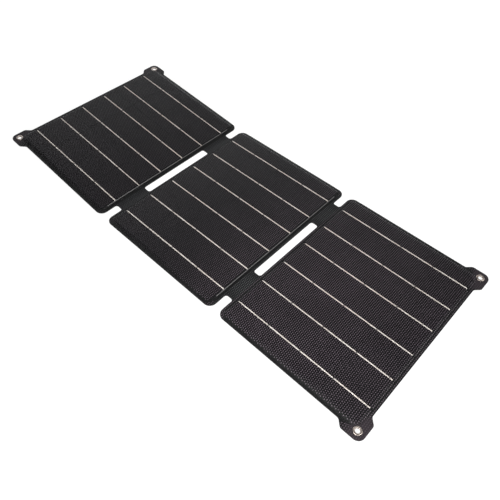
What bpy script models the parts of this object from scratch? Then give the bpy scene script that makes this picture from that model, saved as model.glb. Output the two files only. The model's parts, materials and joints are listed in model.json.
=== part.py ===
"""Folding solar mat: three stiff panels in a row on one cloth, joined by cloth tabs at two folds.

The middle panel lies on its back at the origin. The right panel lies flat beside it, and the left panel is
propped up by the junction box under its outer end. +X runs along the row, +Y away from the near edge, +Z up.
"""

import math

import bmesh
import bpy
from mathutils import Matrix, Vector

MM = 0.001

# Panel outline
PANEL_LENGTH = 164.7 * MM
PANEL_WIDTH = 216.5 * MM
PANEL_CORNER = 8.0 * MM
FOLD_GAP = 9.2 * MM

# Cloth tabs that carry the folds, measured from the centre line
TAB_INNER = 47.0 * MM
TAB_WIDTH = 39.0 * MM
TAB_FILLET = 2.8 * MM
TAB_SPLIT = 0.3 * MM

# Eyelet ears on the outer corners
EAR_REACH = 5.6 * MM
EAR_SPAN = 20.0 * MM
EAR_CORNER = 7.0 * MM
EAR_FILLET = 4.0 * MM

# Layers, from the back to the front
CLOTH_THICKNESS = 0.9 * MM
BOARD_THICKNESS = 0.8 * MM
CELL_THICKNESS = 0.2 * MM
RIBBON_THICKNESS = 0.12 * MM
FILM_THICKNESS = 0.35 * MM
BOND = 0.05 * MM

# Stiffener board inside the panel's border, and the film that is formed over it
END_BORDER = 5.45 * MM
SIDE_BORDER = 6.75 * MM
BOARD_CORNER = 5.0 * MM
FILM_CREST = 0.3 * MM
FILM_SLOPE = 1.6 * MM
FILM_END_RIM = 0.5 * MM
FILM_EYELET_GAP = 0.46 * MM

# Solar cells in rows along X, and the ribbons that join them
ROWS = ("near", "centre", "far")
CELLS_IN_ROW = 4
CELL_GAP = 1.2 * MM
CELL_END_MARGIN = 1.3 * MM
CELL_SIDE_MARGIN = 2.05 * MM
CELL_NECK = 4.0 * MM
RIBBON_SPACING = 34.1 * MM
RIBBON_WIDTH = 1.4 * MM
RIBBON_END_MARGIN = 0.2 * MM
END_BAR_WIDTH = 3.6 * MM

# Flat leads that cross the folds inside the tabs, and that run down into the junction box
LEAD_THICKNESS = 0.15 * MM
LEAD_WIDTH = 7.0 * MM
LEAD_PLY = 0.37 * MM
LEAD_SETBACK = 0.2 * MM
OUTPUT_LEAD_SPACING = 24.0 * MM

# Eyelets and their washers
EYELET_INSET = 2.2 * MM
EYELET_BORE = 2.35 * MM
EYELET_WALL = 0.3 * MM
EYELET_FLANGE = 4.1 * MM
EYELET_CROWN = 0.55 * MM
WASHER_THICKNESS = 0.25 * MM
WASHER_RADIUS = 4.0 * MM
EYELET_CLEARANCE = 0.1 * MM

# Folded pack
FACE_GAP = 0.6 * MM

# Junction box under the outer end of the left panel
BOX_LENGTH = 38.0 * MM
BOX_WIDTH = 75.0 * MM
BOX_DEPTH = 12.5 * MM
BOX_WALL = 1.8 * MM
BOX_CORNER = 4.0 * MM
BOX_INSET = 7.8 * MM
BASE_THICKNESS = 1.6 * MM
FIT = 0.2 * MM
POST_RADIUS = 2.6 * MM
POST_INSET = 4.8 * MM
RAIL_HEIGHT = 1.4 * MM
RAIL_WIDTH = 2.0 * MM
TERMINAL_BOARD_LENGTH = 22.0 * MM
TERMINAL_BOARD_WIDTH = 40.0 * MM
TERMINAL_BOARD_THICKNESS = 1.2 * MM
DIODE_SIZE = (5.0 * MM, 4.0 * MM, 2.2 * MM)
SCREW_RADIUS = 0.95 * MM
SCREW_LENGTH = 7.0 * MM
SCREW_HEAD_RADIUS = 2.0 * MM
SCREW_HEAD_HEIGHT = 1.0 * MM
SCREW_CLEARANCE = 0.12 * MM

# Output socket in the far wall of the box
SOCKET_RADIUS = 3.5 * MM
SOCKET_BORE = 2.75 * MM
SOCKET_FLANGE = 5.0 * MM
SOCKET_FLANGE_THICKNESS = 1.4 * MM
SOCKET_LENGTH = 11.0 * MM
SOCKET_FLOOR = 2.0 * MM
SOCKET_PIN_RADIUS = 1.0 * MM
SOCKET_PIN_LENGTH = 7.5 * MM
SOCKET_PIN_SEAT = 1.2 * MM
SOCKET_NUT_RADIUS = 4.3 * MM
SOCKET_NUT_THICKNESS = 2.0 * MM
SOCKET_CLEARANCE = 0.1 * MM

# Facets of the round pieces
ARC_STEP = math.radians(15.0)
EYELET_STEPS = 28
ROUND_STEPS = 24
SCREW_STEPS = 14

# Lengths and widths in a panel
BOARD_LENGTH = PANEL_LENGTH - 2 * END_BORDER
BOARD_WIDTH = PANEL_WIDTH - 2 * SIDE_BORDER
ROW_PITCH = (BOARD_WIDTH - 2 * CELL_SIDE_MARGIN + CELL_GAP) / len(ROWS)
CELL_WIDTH = ROW_PITCH - CELL_GAP
CELL_PITCH = (BOARD_LENGTH - 2 * CELL_END_MARGIN + CELL_GAP) / CELLS_IN_ROW
RIBBON_LENGTH = BOARD_LENGTH - 2 * RIBBON_END_MARGIN
TAB_OUTER = TAB_INNER + TAB_WIDTH
TAB_CENTRE = TAB_INNER + TAB_WIDTH / 2
TAB_REACH = (FOLD_GAP - TAB_SPLIT) / 2

# Heights in a panel, from the back of its cloth
BOARD_BOTTOM = CLOTH_THICKNESS + BOND
BOARD_TOP = BOARD_BOTTOM + BOARD_THICKNESS
END_BAR_BOTTOM = BOARD_TOP + BOND
END_BAR_TOP = END_BAR_BOTTOM + RIBBON_THICKNESS
CELL_BOTTOM = END_BAR_TOP + BOND
CELL_TOP = CELL_BOTTOM + CELL_THICKNESS
RIBBON_BOTTOM = CELL_TOP + BOND
RIBBON_TOP = RIBBON_BOTTOM + RIBBON_THICKNESS
FILM_TOP = RIBBON_TOP + BOND + FILM_THICKNESS
FILM_RIM_TOP = CLOTH_THICKNESS + BOND + FILM_THICKNESS

# Fold lines: the right panel closes first, face to face, and the left panel closes over its back
PITCH = PANEL_LENGTH + FOLD_GAP
RIGHT_FOLD_HEIGHT = FILM_TOP + FACE_GAP / 2
LEFT_FOLD_HEIGHT = RIGHT_FOLD_HEIGHT + (FILM_TOP + FACE_GAP) / 2

# The left panel leans on the inner bottom edge of its box
BOX_FROM_FOLD = FOLD_GAP / 2 + PANEL_LENGTH - BOX_INSET - BOX_LENGTH
PROP_DROP = LEFT_FOLD_HEIGHT + BOX_DEPTH
PROP_ANGLE = math.atan2(PROP_DROP, BOX_FROM_FOLD) - math.asin(
    LEFT_FOLD_HEIGHT / math.hypot(PROP_DROP, BOX_FROM_FOLD)
)


def clear_scene():
    """Empties the file, so that the model is the only thing in it."""
    for item in list(bpy.data.objects):
        bpy.data.objects.remove(item)
    for item in list(bpy.data.collections):
        bpy.data.collections.remove(item)


def new_collection(name):
    collection = bpy.data.collections.new(name)
    bpy.context.scene.collection.children.link(collection)
    return collection


def make_material(name, colour, roughness, metallic):
    material = bpy.data.materials.new(name)
    material.use_nodes = True
    shader = material.node_tree.nodes["Principled BSDF"]
    shader.inputs["Base Color"].default_value = (*colour, 1.0)
    shader.inputs["Roughness"].default_value = roughness
    shader.inputs["Metallic"].default_value = metallic
    return material


clear_scene()
PARTS = new_collection("folding_solar_mat")
CUTTERS = new_collection("cutters")

CLOTH = make_material("black_cloth", (0.022, 0.023, 0.023), 0.8, 0.0)
BOARD = make_material("glass_fibre_board", (0.10, 0.12, 0.08), 0.6, 0.0)
SILICON = make_material("dark_silicon", (0.012, 0.012, 0.020), 0.35, 0.1)
RIBBON = make_material("tinned_ribbon", (0.62, 0.58, 0.54), 0.35, 0.9)
FILM = make_material("embossed_film", (0.030, 0.027, 0.030), 0.45, 0.0)
COPPER = make_material("copper_lead", (0.60, 0.30, 0.16), 0.35, 1.0)
NICKEL = make_material("nickel_plate", (0.62, 0.60, 0.56), 0.25, 1.0)
PLASTIC = make_material("black_plastic", (0.020, 0.020, 0.021), 0.55, 0.0)
CIRCUIT = make_material("circuit_board", (0.02, 0.09, 0.04), 0.5, 0.0)
STEEL = make_material("zinc_steel", (0.45, 0.45, 0.46), 0.35, 1.0)


def empty(name, location, parent=None, turn=0.0):
    """A guide frame, turned about Y, that pieces hang on."""
    guide = bpy.data.objects.new(name, None)
    guide.empty_display_size = 0.02
    guide.location = location
    guide.rotation_euler = (0.0, turn, 0.0)
    guide.parent = parent
    PARTS.objects.link(guide)
    return guide


def finish(piece, name, parent, material):
    """Names a piece, hangs it on its panel and gives it its material."""
    for holder in list(piece.users_collection):
        holder.objects.unlink(piece)
    PARTS.objects.link(piece)
    piece.name = name
    piece.data.name = name
    piece.parent = parent
    piece.data.materials.clear()
    piece.data.materials.append(material)
    return piece


def as_cutter(piece, parent):
    """Turns a solid into a tool that only cuts or joins."""
    for holder in list(piece.users_collection):
        holder.objects.unlink(piece)
    CUTTERS.objects.link(piece)
    piece.parent = parent
    piece.hide_render = True
    piece.display_type = "WIRE"
    return piece


def boolean(piece, tool, operation="DIFFERENCE"):
    step = piece.modifiers.new(operation.lower(), "BOOLEAN")
    step.operation = operation
    step.solver = "EXACT"
    step.object = tool


def slab(low, high):
    """A box between two corners."""
    bpy.ops.mesh.primitive_cube_add(size=1.0)
    piece = bpy.context.object
    low = Vector(low)
    high = Vector(high)
    middle = Matrix.Translation((low + high) / 2)
    piece.data.transform(middle @ Matrix.Diagonal((*(high - low), 1.0)))
    return piece


def rod(radius, bottom, top, centre=(0.0, 0.0), steps=ROUND_STEPS):
    """An upright cylinder."""
    bpy.ops.mesh.primitive_cylinder_add(radius=radius, depth=top - bottom, vertices=steps)
    piece = bpy.context.object
    piece.data.transform(Matrix.Translation((*centre, (top + bottom) / 2)))
    piece.data.shade_smooth()
    piece.data.set_sharp_from_angle(angle=math.radians(40))
    return piece


def rounded(corners):
    """Points of a polygon whose corners (x, y, radius) are rounded by arcs."""
    points = []
    count = len(corners)
    for index, (x, y, radius) in enumerate(corners):
        here = Vector((x, y))
        back = Vector(corners[index - 1][:2]) - here
        ahead = Vector(corners[(index + 1) % count][:2]) - here
        back.normalize()
        ahead.normalize()
        turn = math.pi - back.angle(ahead)
        if radius == 0.0 or turn < 1e-6:
            points.append(here)
            continue
        centre = here + (back + ahead).normalized() * radius / math.cos(turn / 2)
        start = here + back * radius * math.tan(turn / 2) - centre
        sense = 1.0 if back.cross(ahead) < 0.0 else -1.0
        steps = max(2, round(turn / ARC_STEP))
        for step in range(steps + 1):
            angle = sense * turn * step / steps
            points.append(centre + Matrix.Rotation(angle, 2) @ start)
    return points


def outline_solid(points, bottom, top):
    """Extrudes a flat outline between two heights."""
    shape = bmesh.new()
    face = shape.faces.new([shape.verts.new((*point, bottom)) for point in points])
    pulled = bmesh.ops.extrude_face_region(shape, geom=[face])["geom"]
    raised = [item for item in pulled if isinstance(item, bmesh.types.BMVert)]
    bmesh.ops.translate(shape, verts=raised, vec=(0.0, 0.0, top - bottom))
    bmesh.ops.recalc_face_normals(shape, faces=shape.faces)
    mesh = bpy.data.meshes.new("solid")
    shape.to_mesh(mesh)
    shape.free()
    solid = bpy.data.objects.new("solid", mesh)
    PARTS.objects.link(solid)
    return solid


def section_solid(points, width, centre_y):
    """Extrudes a section in X and Z across a width in Y."""
    solid = outline_solid(points, -width / 2, width / 2)
    solid.data.transform(Matrix.Translation((0.0, centre_y, 0.0)) @ Matrix.Rotation(math.pi / 2, 4, "X"))
    return solid


def turned(profile, steps):
    """A closed profile of (radius, height) swept round Z; its outer side runs from top to bottom."""
    mesh = bpy.data.meshes.new("profile")
    count = len(profile)
    edges = [(index, (index + 1) % count) for index in range(count)]
    mesh.from_pydata([(radius, 0.0, height) for radius, height in profile], edges, [])
    piece = bpy.data.objects.new("turned", mesh)
    PARTS.objects.link(piece)
    sweep = piece.modifiers.new("screw", "SCREW")
    sweep.steps = steps
    sweep.render_steps = steps
    sweep.use_merge_vertices = True
    sweep.merge_threshold = 1e-6
    sweep.use_smooth_shade = True
    return piece


def rectangle(length, width, radius):
    x = length / 2
    y = width / 2
    return rounded([(-x, -y, radius), (x, -y, radius), (x, y, radius), (-x, y, radius)])


def fold_end():
    """Half of the +X end of a panel that meets a fold: from the corner to the slot."""
    edge = PANEL_LENGTH / 2
    tip = edge + TAB_REACH
    return [
        (edge, -PANEL_WIDTH / 2, PANEL_CORNER),
        (edge, -TAB_OUTER, TAB_FILLET),
        (tip, -TAB_OUTER, 0.0),
        (tip, -TAB_INNER, 0.0),
        (edge, -TAB_INNER, TAB_FILLET),
    ]


def ear_end():
    """Half of the +X end of a panel that has eyelet ears."""
    edge = PANEL_LENGTH / 2
    side = -PANEL_WIDTH / 2
    return [
        (edge - EAR_SPAN, side, EAR_FILLET),
        (edge - EAR_SPAN + EAR_REACH, side - EAR_REACH, EAR_FILLET),
        (edge + EAR_REACH, side - EAR_REACH, EAR_CORNER),
        (edge + EAR_REACH, side + EAR_SPAN - EAR_REACH, EAR_FILLET),
        (edge, side + EAR_SPAN, EAR_FILLET),
    ]


def panel_outline(left_half, right_half):
    """Closed outline of one panel's cloth from the near halves of its two ends."""
    right = right_half + [(x, -y, r) for x, y, r in reversed(right_half)]
    left = left_half + [(x, -y, r) for x, y, r in reversed(left_half)]
    return rounded(right + [(-x, y, r) for x, y, r in reversed(left)])


def eyelet_places(side):
    """Centres of the two eyelets at the outer end, side -1 or +1 along X."""
    x = side * (PANEL_LENGTH / 2 - EYELET_INSET)
    y = PANEL_WIDTH / 2 - EYELET_INSET
    return {"near": (x, -y), "far": (x, y)}


def build_cloth(name, frame, folds, ears):
    """Back cloth with tab halves at its folds and eyelet ears at its outer end."""
    ends = [ear_end() if side in ears else fold_end() for side in (-1, 1)]
    cloth = outline_solid(panel_outline(*ends), 0.0, CLOTH_THICKNESS)
    for side in ears:
        for centre in eyelet_places(side).values():
            hole = EYELET_BORE + EYELET_WALL + EYELET_CLEARANCE
            boolean(cloth, as_cutter(rod(hole, -MM, CLOTH_THICKNESS + MM, centre), frame))
            seat = WASHER_RADIUS + EYELET_CLEARANCE
            boolean(cloth, as_cutter(rod(seat, -MM, WASHER_THICKNESS + BOND, centre), frame))
    for side in folds:
        for y in (-TAB_CENTRE, TAB_CENTRE):
            boolean(cloth, lead_pocket(side, y, frame))
            boolean(cloth, lead_shaft(side, y, frame))
    return finish(cloth, name + "_back_cloth", frame, CLOTH)


def build_board(name, frame, folds):
    """Glass-fibre sheet that keeps the panel flat."""
    board = outline_solid(rectangle(BOARD_LENGTH, BOARD_WIDTH, BOARD_CORNER), BOARD_BOTTOM, BOARD_TOP)
    for side in folds:
        for y in (-TAB_CENTRE, TAB_CENTRE):
            boolean(board, lead_shaft(side, y, frame))
    return finish(board, name + "_stiffener_board", frame, BOARD)


def build_cell_string(name, frame, row_y):
    """One row of cells, joined in necks where the ribbons cross from cell to cell."""
    half = (CELLS_IN_ROW * CELL_PITCH - CELL_GAP) / 2
    edge = CELL_WIDTH / 2
    neck_out = RIBBON_SPACING / 2 + CELL_NECK / 2
    neck_in = RIBBON_SPACING / 2 - CELL_NECK / 2
    near_side = [(-half, -edge)]
    slots = []
    for index in range(1, CELLS_IN_ROW):
        end = -half + index * CELL_PITCH
        gap = end - CELL_GAP
        near_side += [(gap, -edge), (gap, -neck_out), (end, -neck_out), (end, -edge)]
        slots.append(slab((gap, row_y - neck_in, 0.0), (end, row_y + neck_in, FILM_TOP)))
    near_side.append((half, -edge))
    border = near_side + [(x, -y) for x, y in reversed(near_side)]
    string = outline_solid(border, CELL_BOTTOM, CELL_TOP)
    string.data.transform(Matrix.Translation((0.0, row_y, 0.0)))
    for slot in slots:
        boolean(string, as_cutter(slot, frame))
    return finish(string, name, frame, SILICON)


def build_ribbon_pair(name, frame, row_y, bar_side):
    """Two ribbons along the front of a row, turned down at one end to a bar behind the cells."""
    end = RIBBON_LENGTH / 2
    bar = end - END_BAR_WIDTH
    section = [
        (-end, RIBBON_BOTTOM),
        (end - RIBBON_THICKNESS, RIBBON_BOTTOM),
        (end - RIBBON_THICKNESS, END_BAR_TOP),
        (bar, END_BAR_TOP),
        (bar, END_BAR_BOTTOM),
        (end, END_BAR_BOTTOM),
        (end, RIBBON_TOP),
        (-end, RIBBON_TOP),
    ]
    section = [(bar_side * x, z) for x, z in section]
    near_y = row_y - RIBBON_SPACING / 2
    far_y = row_y + RIBBON_SPACING / 2
    pair = section_solid(section, RIBBON_WIDTH, near_y)
    boolean(pair, as_cutter(section_solid(section, RIBBON_WIDTH, far_y), frame), "UNION")
    ends = sorted((bar_side * bar, bar_side * end))
    tie = slab((ends[0], near_y, END_BAR_BOTTOM), (ends[1], far_y, END_BAR_TOP))
    boolean(pair, as_cutter(tie, frame), "UNION")
    return finish(pair, name, frame, RIBBON)


def film_corner(half_x, half_y):
    """Radius of the film's corners, so large that the rim stays clear of an eyelet's flange."""
    clear = EYELET_FLANGE + FILM_EYELET_GAP
    x, y = eyelet_places(1)["far"]
    beyond_x = x - half_x
    beyond_y = y - half_y
    reach = clear - beyond_x - beyond_y
    return reach + math.sqrt(reach**2 + clear**2 - beyond_x**2 - beyond_y**2)


def build_film(name, frame):
    """Front film: flat over the cells, sloping down round the board to a rim on the cloth."""
    crest_x = BOARD_LENGTH / 2 + FILM_CREST
    crest_y = BOARD_WIDTH / 2 + FILM_CREST
    foot_x = crest_x + FILM_SLOPE
    foot_y = crest_y + FILM_SLOPE
    rim_x = foot_x + FILM_END_RIM
    rim_y = PANEL_WIDTH / 2
    loops = (
        (rim_x, rim_y, film_corner(rim_x, rim_y), FILM_RIM_TOP),
        (foot_x, foot_y, BOARD_CORNER + FILM_CREST + FILM_SLOPE, FILM_RIM_TOP),
        (crest_x, crest_y, BOARD_CORNER + FILM_CREST, FILM_TOP),
    )
    sheet = bmesh.new()
    rings = []
    for half_x, half_y, radius, height in loops:
        ring = [sheet.verts.new((*point, height)) for point in rectangle(2 * half_x, 2 * half_y, radius)]
        rings.append([sheet.edges.new((a, b)) for a, b in zip(ring, ring[1:] + ring[:1])])
    for outer, inner in zip(rings, rings[1:]):
        bmesh.ops.bridge_loops(sheet, edges=outer + inner)
    bmesh.ops.contextual_create(sheet, geom=rings[-1])
    bmesh.ops.recalc_face_normals(sheet, faces=sheet.faces)
    mesh = bpy.data.meshes.new("film")
    sheet.to_mesh(mesh)
    sheet.free()
    film = bpy.data.objects.new("film", mesh)
    PARTS.objects.link(film)
    wall = film.modifiers.new("solidify", "SOLIDIFY")
    wall.thickness = FILM_THICKNESS
    wall.offset = -1.0 if mesh.polygons[-1].normal.z > 0.0 else 1.0
    wall.use_even_offset = True
    return finish(film, name + "_front_film", frame, FILM)


def lead_x():
    """Inner end of a fold lead, under the middle of the ribbons' end bar."""
    return RIBBON_LENGTH / 2 - END_BAR_WIDTH / 2


def mirrored_slab(side, low, high):
    """A box given for the +X end of a panel, moved to the end that side names."""
    xs = sorted((side * low[0], side * high[0]))
    return slab((xs[0], *low[1:]), (xs[1], *high[1:]))


def lead_pocket(side, tab_y, frame):
    """Room between the plies of the tab for a fold lead."""
    half = LEAD_WIDTH / 2 + BOND
    low = (lead_x() - BOND, tab_y - half, LEAD_PLY - BOND)
    high = (PANEL_LENGTH / 2 + FOLD_GAP, tab_y + half, LEAD_PLY + LEAD_THICKNESS + BOND)
    return as_cutter(mirrored_slab(side, low, high), frame)


def lead_shaft(side, tab_y, frame):
    """Slit through the cloth's front ply and the board for the lead's upright end."""
    half = LEAD_WIDTH / 2 + BOND
    low = (lead_x() - BOND, tab_y - half, LEAD_PLY + LEAD_THICKNESS / 2)
    high = (lead_x() + LEAD_THICKNESS + BOND, tab_y + half, BOARD_TOP + MM)
    return as_cutter(mirrored_slab(side, low, high), frame)


def build_fold_lead(name, frame, side, tab_y):
    """Half of a flat lead, from the fold line through the tab and up to the cells."""
    tip = PANEL_LENGTH / 2 + TAB_REACH - LEAD_SETBACK
    inner = lead_x()
    section = [
        (inner, LEAD_PLY),
        (tip, LEAD_PLY),
        (tip, LEAD_PLY + LEAD_THICKNESS),
        (inner + LEAD_THICKNESS, LEAD_PLY + LEAD_THICKNESS),
        (inner + LEAD_THICKNESS, BOARD_TOP),
        (inner, BOARD_TOP),
    ]
    lead = section_solid([(side * x, z) for x, z in section], LEAD_WIDTH, tab_y)
    return finish(lead, name, frame, COPPER)


def build_eyelet(name, frame, centre):
    """Eyelet through the ear: a domed flange on the front and a barrel down to the washer."""
    wall = EYELET_BORE + EYELET_WALL
    seat = CLOTH_THICKNESS + BOND
    crown = seat + EYELET_CROWN
    profile = [
        (EYELET_BORE + EYELET_WALL / 2, crown - EYELET_CROWN / 4),
        (wall + EYELET_WALL, crown),
        (EYELET_FLANGE - EYELET_CROWN, crown),
        (EYELET_FLANGE - EYELET_CROWN / 4, crown - EYELET_CROWN / 3),
        (EYELET_FLANGE, seat),
        (wall, seat),
        (wall, 0.0),
        (EYELET_BORE, 0.0),
        (EYELET_BORE, crown - EYELET_CROWN * 0.6),
    ]
    eyelet = turned(profile, EYELET_STEPS)
    eyelet.location = (*centre, 0.0)
    return finish(eyelet, name, frame, NICKEL)


def build_washer(name, frame, centre):
    """Washer that the eyelet is closed over, let into the back of the ear."""
    bore = EYELET_BORE + EYELET_WALL + EYELET_CLEARANCE
    profile = [
        (bore, WASHER_THICKNESS),
        (WASHER_RADIUS, WASHER_THICKNESS),
        (WASHER_RADIUS, 0.0),
        (bore, 0.0),
    ]
    washer = turned(profile, EYELET_STEPS)
    washer.location = (*centre, 0.0)
    return finish(washer, name, frame, NICKEL)


def build_panel(name, frame, folds, ears):
    """All the pieces that lie in one panel; gives back its cloth and board."""
    cloth = build_cloth(name, frame, folds, ears)
    board = build_board(name, frame, folds)
    build_film(name, frame)
    for index, row in enumerate(ROWS):
        row_y = (index - 1) * ROW_PITCH
        bar_side = folds[index % len(folds)] if row != "centre" else -folds[0]
        build_cell_string(f"{name}_cell_string_{row}", frame, row_y)
        build_ribbon_pair(f"{name}_ribbon_pair_{row}", frame, row_y, bar_side)
    for side in folds:
        fold = "left" if name == "left" or (name == "middle" and side < 0) else "right"
        for row, tab_y in (("near", -TAB_CENTRE), ("far", TAB_CENTRE)):
            build_fold_lead(f"{name}_lead_at_{fold}_fold_{row}", frame, side, tab_y)
    for side in ears:
        for row, centre in eyelet_places(side).items():
            build_eyelet(f"{name}_eyelet_{row}", frame, centre)
            build_washer(f"{name}_eyelet_washer_{row}", frame, centre)
    return cloth, board


def box_posts():
    x = BOX_LENGTH / 2 - POST_INSET
    y = BOX_WIDTH / 2 - POST_INSET
    return {"inner_near": (x, -y), "outer_near": (-x, -y), "inner_far": (x, y), "outer_far": (-x, y)}


def build_box_lid(frame):
    """Outer shell of the junction box, open towards the cloth."""
    lid = outline_solid(rectangle(BOX_LENGTH, BOX_WIDTH, BOX_CORNER), -BOX_DEPTH, -BOND)
    room = rectangle(BOX_LENGTH - 2 * BOX_WALL, BOX_WIDTH - 2 * BOX_WALL, BOX_CORNER - BOX_WALL)
    boolean(lid, as_cutter(outline_solid(room, BOX_WALL - BOX_DEPTH, MM), frame))
    for centre in box_posts().values():
        hole = SCREW_RADIUS + SCREW_CLEARANCE
        head = SCREW_HEAD_RADIUS + SCREW_CLEARANCE
        boolean(lid, as_cutter(rod(hole, -BOX_DEPTH - MM, 0.0, centre, SCREW_STEPS), frame))
        sink = SCREW_HEAD_HEIGHT + SCREW_CLEARANCE - BOX_DEPTH
        boolean(lid, as_cutter(rod(head, -BOX_DEPTH - MM, sink, centre, SCREW_STEPS), frame))
    socket_hole = place_socket(rod(SOCKET_RADIUS + SOCKET_CLEARANCE, -BOX_WALL - MM, MM))
    boolean(lid, as_cutter(socket_hole, frame))
    return finish(lid, "junction_box_lid", frame, PLASTIC)


def build_box_base(frame):
    """Base plate on the cloth, with posts for the lid's screws and rails for the terminal board."""
    gap = 2 * (BOX_WALL + FIT)
    plate = rectangle(BOX_LENGTH - gap, BOX_WIDTH - gap, BOX_CORNER - BOX_WALL)
    base = outline_solid(plate, -BOND - BASE_THICKNESS, -BOND)
    top = BOX_WALL + FIT - BOX_DEPTH
    for centre in box_posts().values():
        boolean(base, as_cutter(rod(POST_RADIUS, top, -BOND - BASE_THICKNESS / 2, centre), frame), "UNION")
    rail_x = TERMINAL_BOARD_LENGTH / 2 - RAIL_WIDTH
    rail_y = TERMINAL_BOARD_WIDTH / 2
    rail_low = -BOND - BASE_THICKNESS - RAIL_HEIGHT
    for side in (-1, 1):
        low = (rail_x, -rail_y, rail_low)
        high = (rail_x + RAIL_WIDTH, rail_y, -BOND - BASE_THICKNESS / 2)
        boolean(base, as_cutter(mirrored_slab(side, low, high), frame), "UNION")
    for centre in box_posts().values():
        pilot = SCREW_RADIUS + SCREW_CLEARANCE
        deep = screw_tip() + SCREW_CLEARANCE
        boolean(base, as_cutter(rod(pilot, top - MM, deep, centre, SCREW_STEPS), frame))
    return finish(base, "junction_box_base", frame, PLASTIC)


def screw_tip():
    return SCREW_HEAD_HEIGHT + SCREW_LENGTH - BOX_DEPTH


def build_lid_screw(name, frame, centre):
    """Countersunk-flush screw that holds the lid to a post of the base."""
    head = SCREW_HEAD_HEIGHT - BOX_DEPTH
    screw = rod(SCREW_HEAD_RADIUS, -BOX_DEPTH + SCREW_CLEARANCE, head, centre, SCREW_STEPS)
    shank = rod(SCREW_RADIUS, head - SCREW_HEAD_HEIGHT / 2, screw_tip(), centre, SCREW_STEPS)
    boolean(screw, as_cutter(shank, frame), "UNION")
    return finish(screw, name, frame, STEEL)


def build_terminal_board(frame):
    """Small circuit board on the base's rails, with the bypass diode on it."""
    top = -BOND - BASE_THICKNESS - RAIL_HEIGHT - BOND
    low = top - TERMINAL_BOARD_THICKNESS
    x = TERMINAL_BOARD_LENGTH / 2
    y = TERMINAL_BOARD_WIDTH / 2
    finish(slab((-x, -y, low), (x, y, top)), "terminal_board", frame, CIRCUIT)
    dx, dy, dz = DIODE_SIZE
    diode = slab((-dx / 2, -dy / 2, low - BOND - dz), (dx / 2, dy / 2, low - BOND))
    finish(diode, "bypass_diode", frame, PLASTIC)


def place_socket(piece):
    """Lays a shape turned about Z on the socket's axis, its +Z out of the box's far wall."""
    room_top = BOND + BASE_THICKNESS
    room_floor = BOX_DEPTH - BOX_WALL
    piece.location = (0.0, BOX_WIDTH / 2, -(room_top + room_floor) / 2)
    piece.rotation_euler = (-math.pi / 2, 0.0, 0.0)
    return piece


def build_socket(frame):
    """Round output socket in the box's wall: body, centre pin and the nut inside."""
    seat = BOND
    face = seat + SOCKET_FLANGE_THICKNESS
    back = face - SOCKET_LENGTH
    floor = back + SOCKET_FLOOR
    pin_hole = SOCKET_PIN_RADIUS + SOCKET_CLEARANCE
    body = [
        (SOCKET_BORE, face),
        (SOCKET_FLANGE, face),
        (SOCKET_FLANGE, seat),
        (SOCKET_RADIUS, seat),
        (SOCKET_RADIUS, back),
        (pin_hole, back),
        (pin_hole, floor),
        (SOCKET_BORE, floor),
    ]
    nut_top = -BOX_WALL - BOND
    nut_low = nut_top - SOCKET_NUT_THICKNESS
    nut_bore = SOCKET_RADIUS + SOCKET_CLEARANCE
    nut = [
        (nut_bore, nut_top),
        (SOCKET_NUT_RADIUS, nut_top),
        (SOCKET_NUT_RADIUS, nut_low),
        (nut_bore, nut_low),
    ]
    pieces = {
        "output_socket": (turned(body, ROUND_STEPS), PLASTIC),
        "output_socket_nut": (turned(nut, ROUND_STEPS), NICKEL),
        "output_socket_pin": (
            rod(SOCKET_PIN_RADIUS, floor - SOCKET_PIN_SEAT, floor + SOCKET_PIN_LENGTH, steps=SCREW_STEPS),
            NICKEL,
        ),
    }
    for name, (piece, material) in pieces.items():
        finish(place_socket(piece), name, frame, material)


def build_output_leads(frame, crossed):
    """Flat leads from the cells down through the crossed pieces to the terminal board."""
    bottom = -BOND - BASE_THICKNESS - RAIL_HEIGHT
    x = LEAD_THICKNESS / 2
    for row, side in (("near", -1), ("far", 1)):
        y = side * OUTPUT_LEAD_SPACING / 2
        low = Vector((-x, y - LEAD_WIDTH / 2, bottom))
        high = Vector((x, y + LEAD_WIDTH / 2, BOARD_TOP))
        room = Vector((BOND, BOND, MM))
        for piece in crossed:
            boolean(piece, as_cutter(slab(low - room, high + room), frame))
        finish(slab(low, high), f"output_lead_{row}", frame, COPPER)


def build_junction_box(panel_frame, cloth, board):
    """Box on the back of the left panel, set so far from the fold that the panel leans on its edge."""
    centre_x = PITCH / 2 - BOX_FROM_FOLD - BOX_LENGTH / 2
    frame = empty("junction_box_frame", (centre_x, 0.0, 0.0), panel_frame)
    build_box_lid(frame)
    base = build_box_base(frame)
    build_terminal_board(frame)
    build_output_leads(frame, (base, cloth, board))
    build_socket(frame)
    for name, centre in box_posts().items():
        build_lid_screw("lid_screw_" + name, frame, centre)


def build_mat():
    left_fold = empty("left_fold_axis", (-PITCH / 2, 0.0, LEFT_FOLD_HEIGHT), turn=PROP_ANGLE)
    right_fold = empty("right_fold_axis", (PITCH / 2, 0.0, RIGHT_FOLD_HEIGHT))
    frames = {
        "left": empty("left_panel_frame", (-PITCH / 2, 0.0, -LEFT_FOLD_HEIGHT), left_fold),
        "middle": empty("middle_panel_frame", (0.0, 0.0, 0.0)),
        "right": empty("right_panel_frame", (PITCH / 2, 0.0, -RIGHT_FOLD_HEIGHT), right_fold),
    }
    cloth, board = build_panel("left", frames["left"], folds=(1,), ears=(-1,))
    build_panel("middle", frames["middle"], folds=(-1, 1), ears=())
    build_panel("right", frames["right"], folds=(-1,), ears=(1,))
    build_junction_box(frames["left"], cloth, board)


build_mat()
bpy.context.view_layer.update()
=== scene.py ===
# %% [markdown]
# # A folding solar mat
# Three stiff panels of solar cells lie on one black cloth that folds between them.
# The lesson loads the CAD frame, sets the camera and the light, and then makes each visible piece
# the way the real one is made: die-cut cloth, embossed film, soldered ribbons, pressed eyelets, a moulded box.
# Lengths are in metres, and a finished piece stays at the origin, with its place in its vertices.

# %% Load the frame
import json
import math

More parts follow.
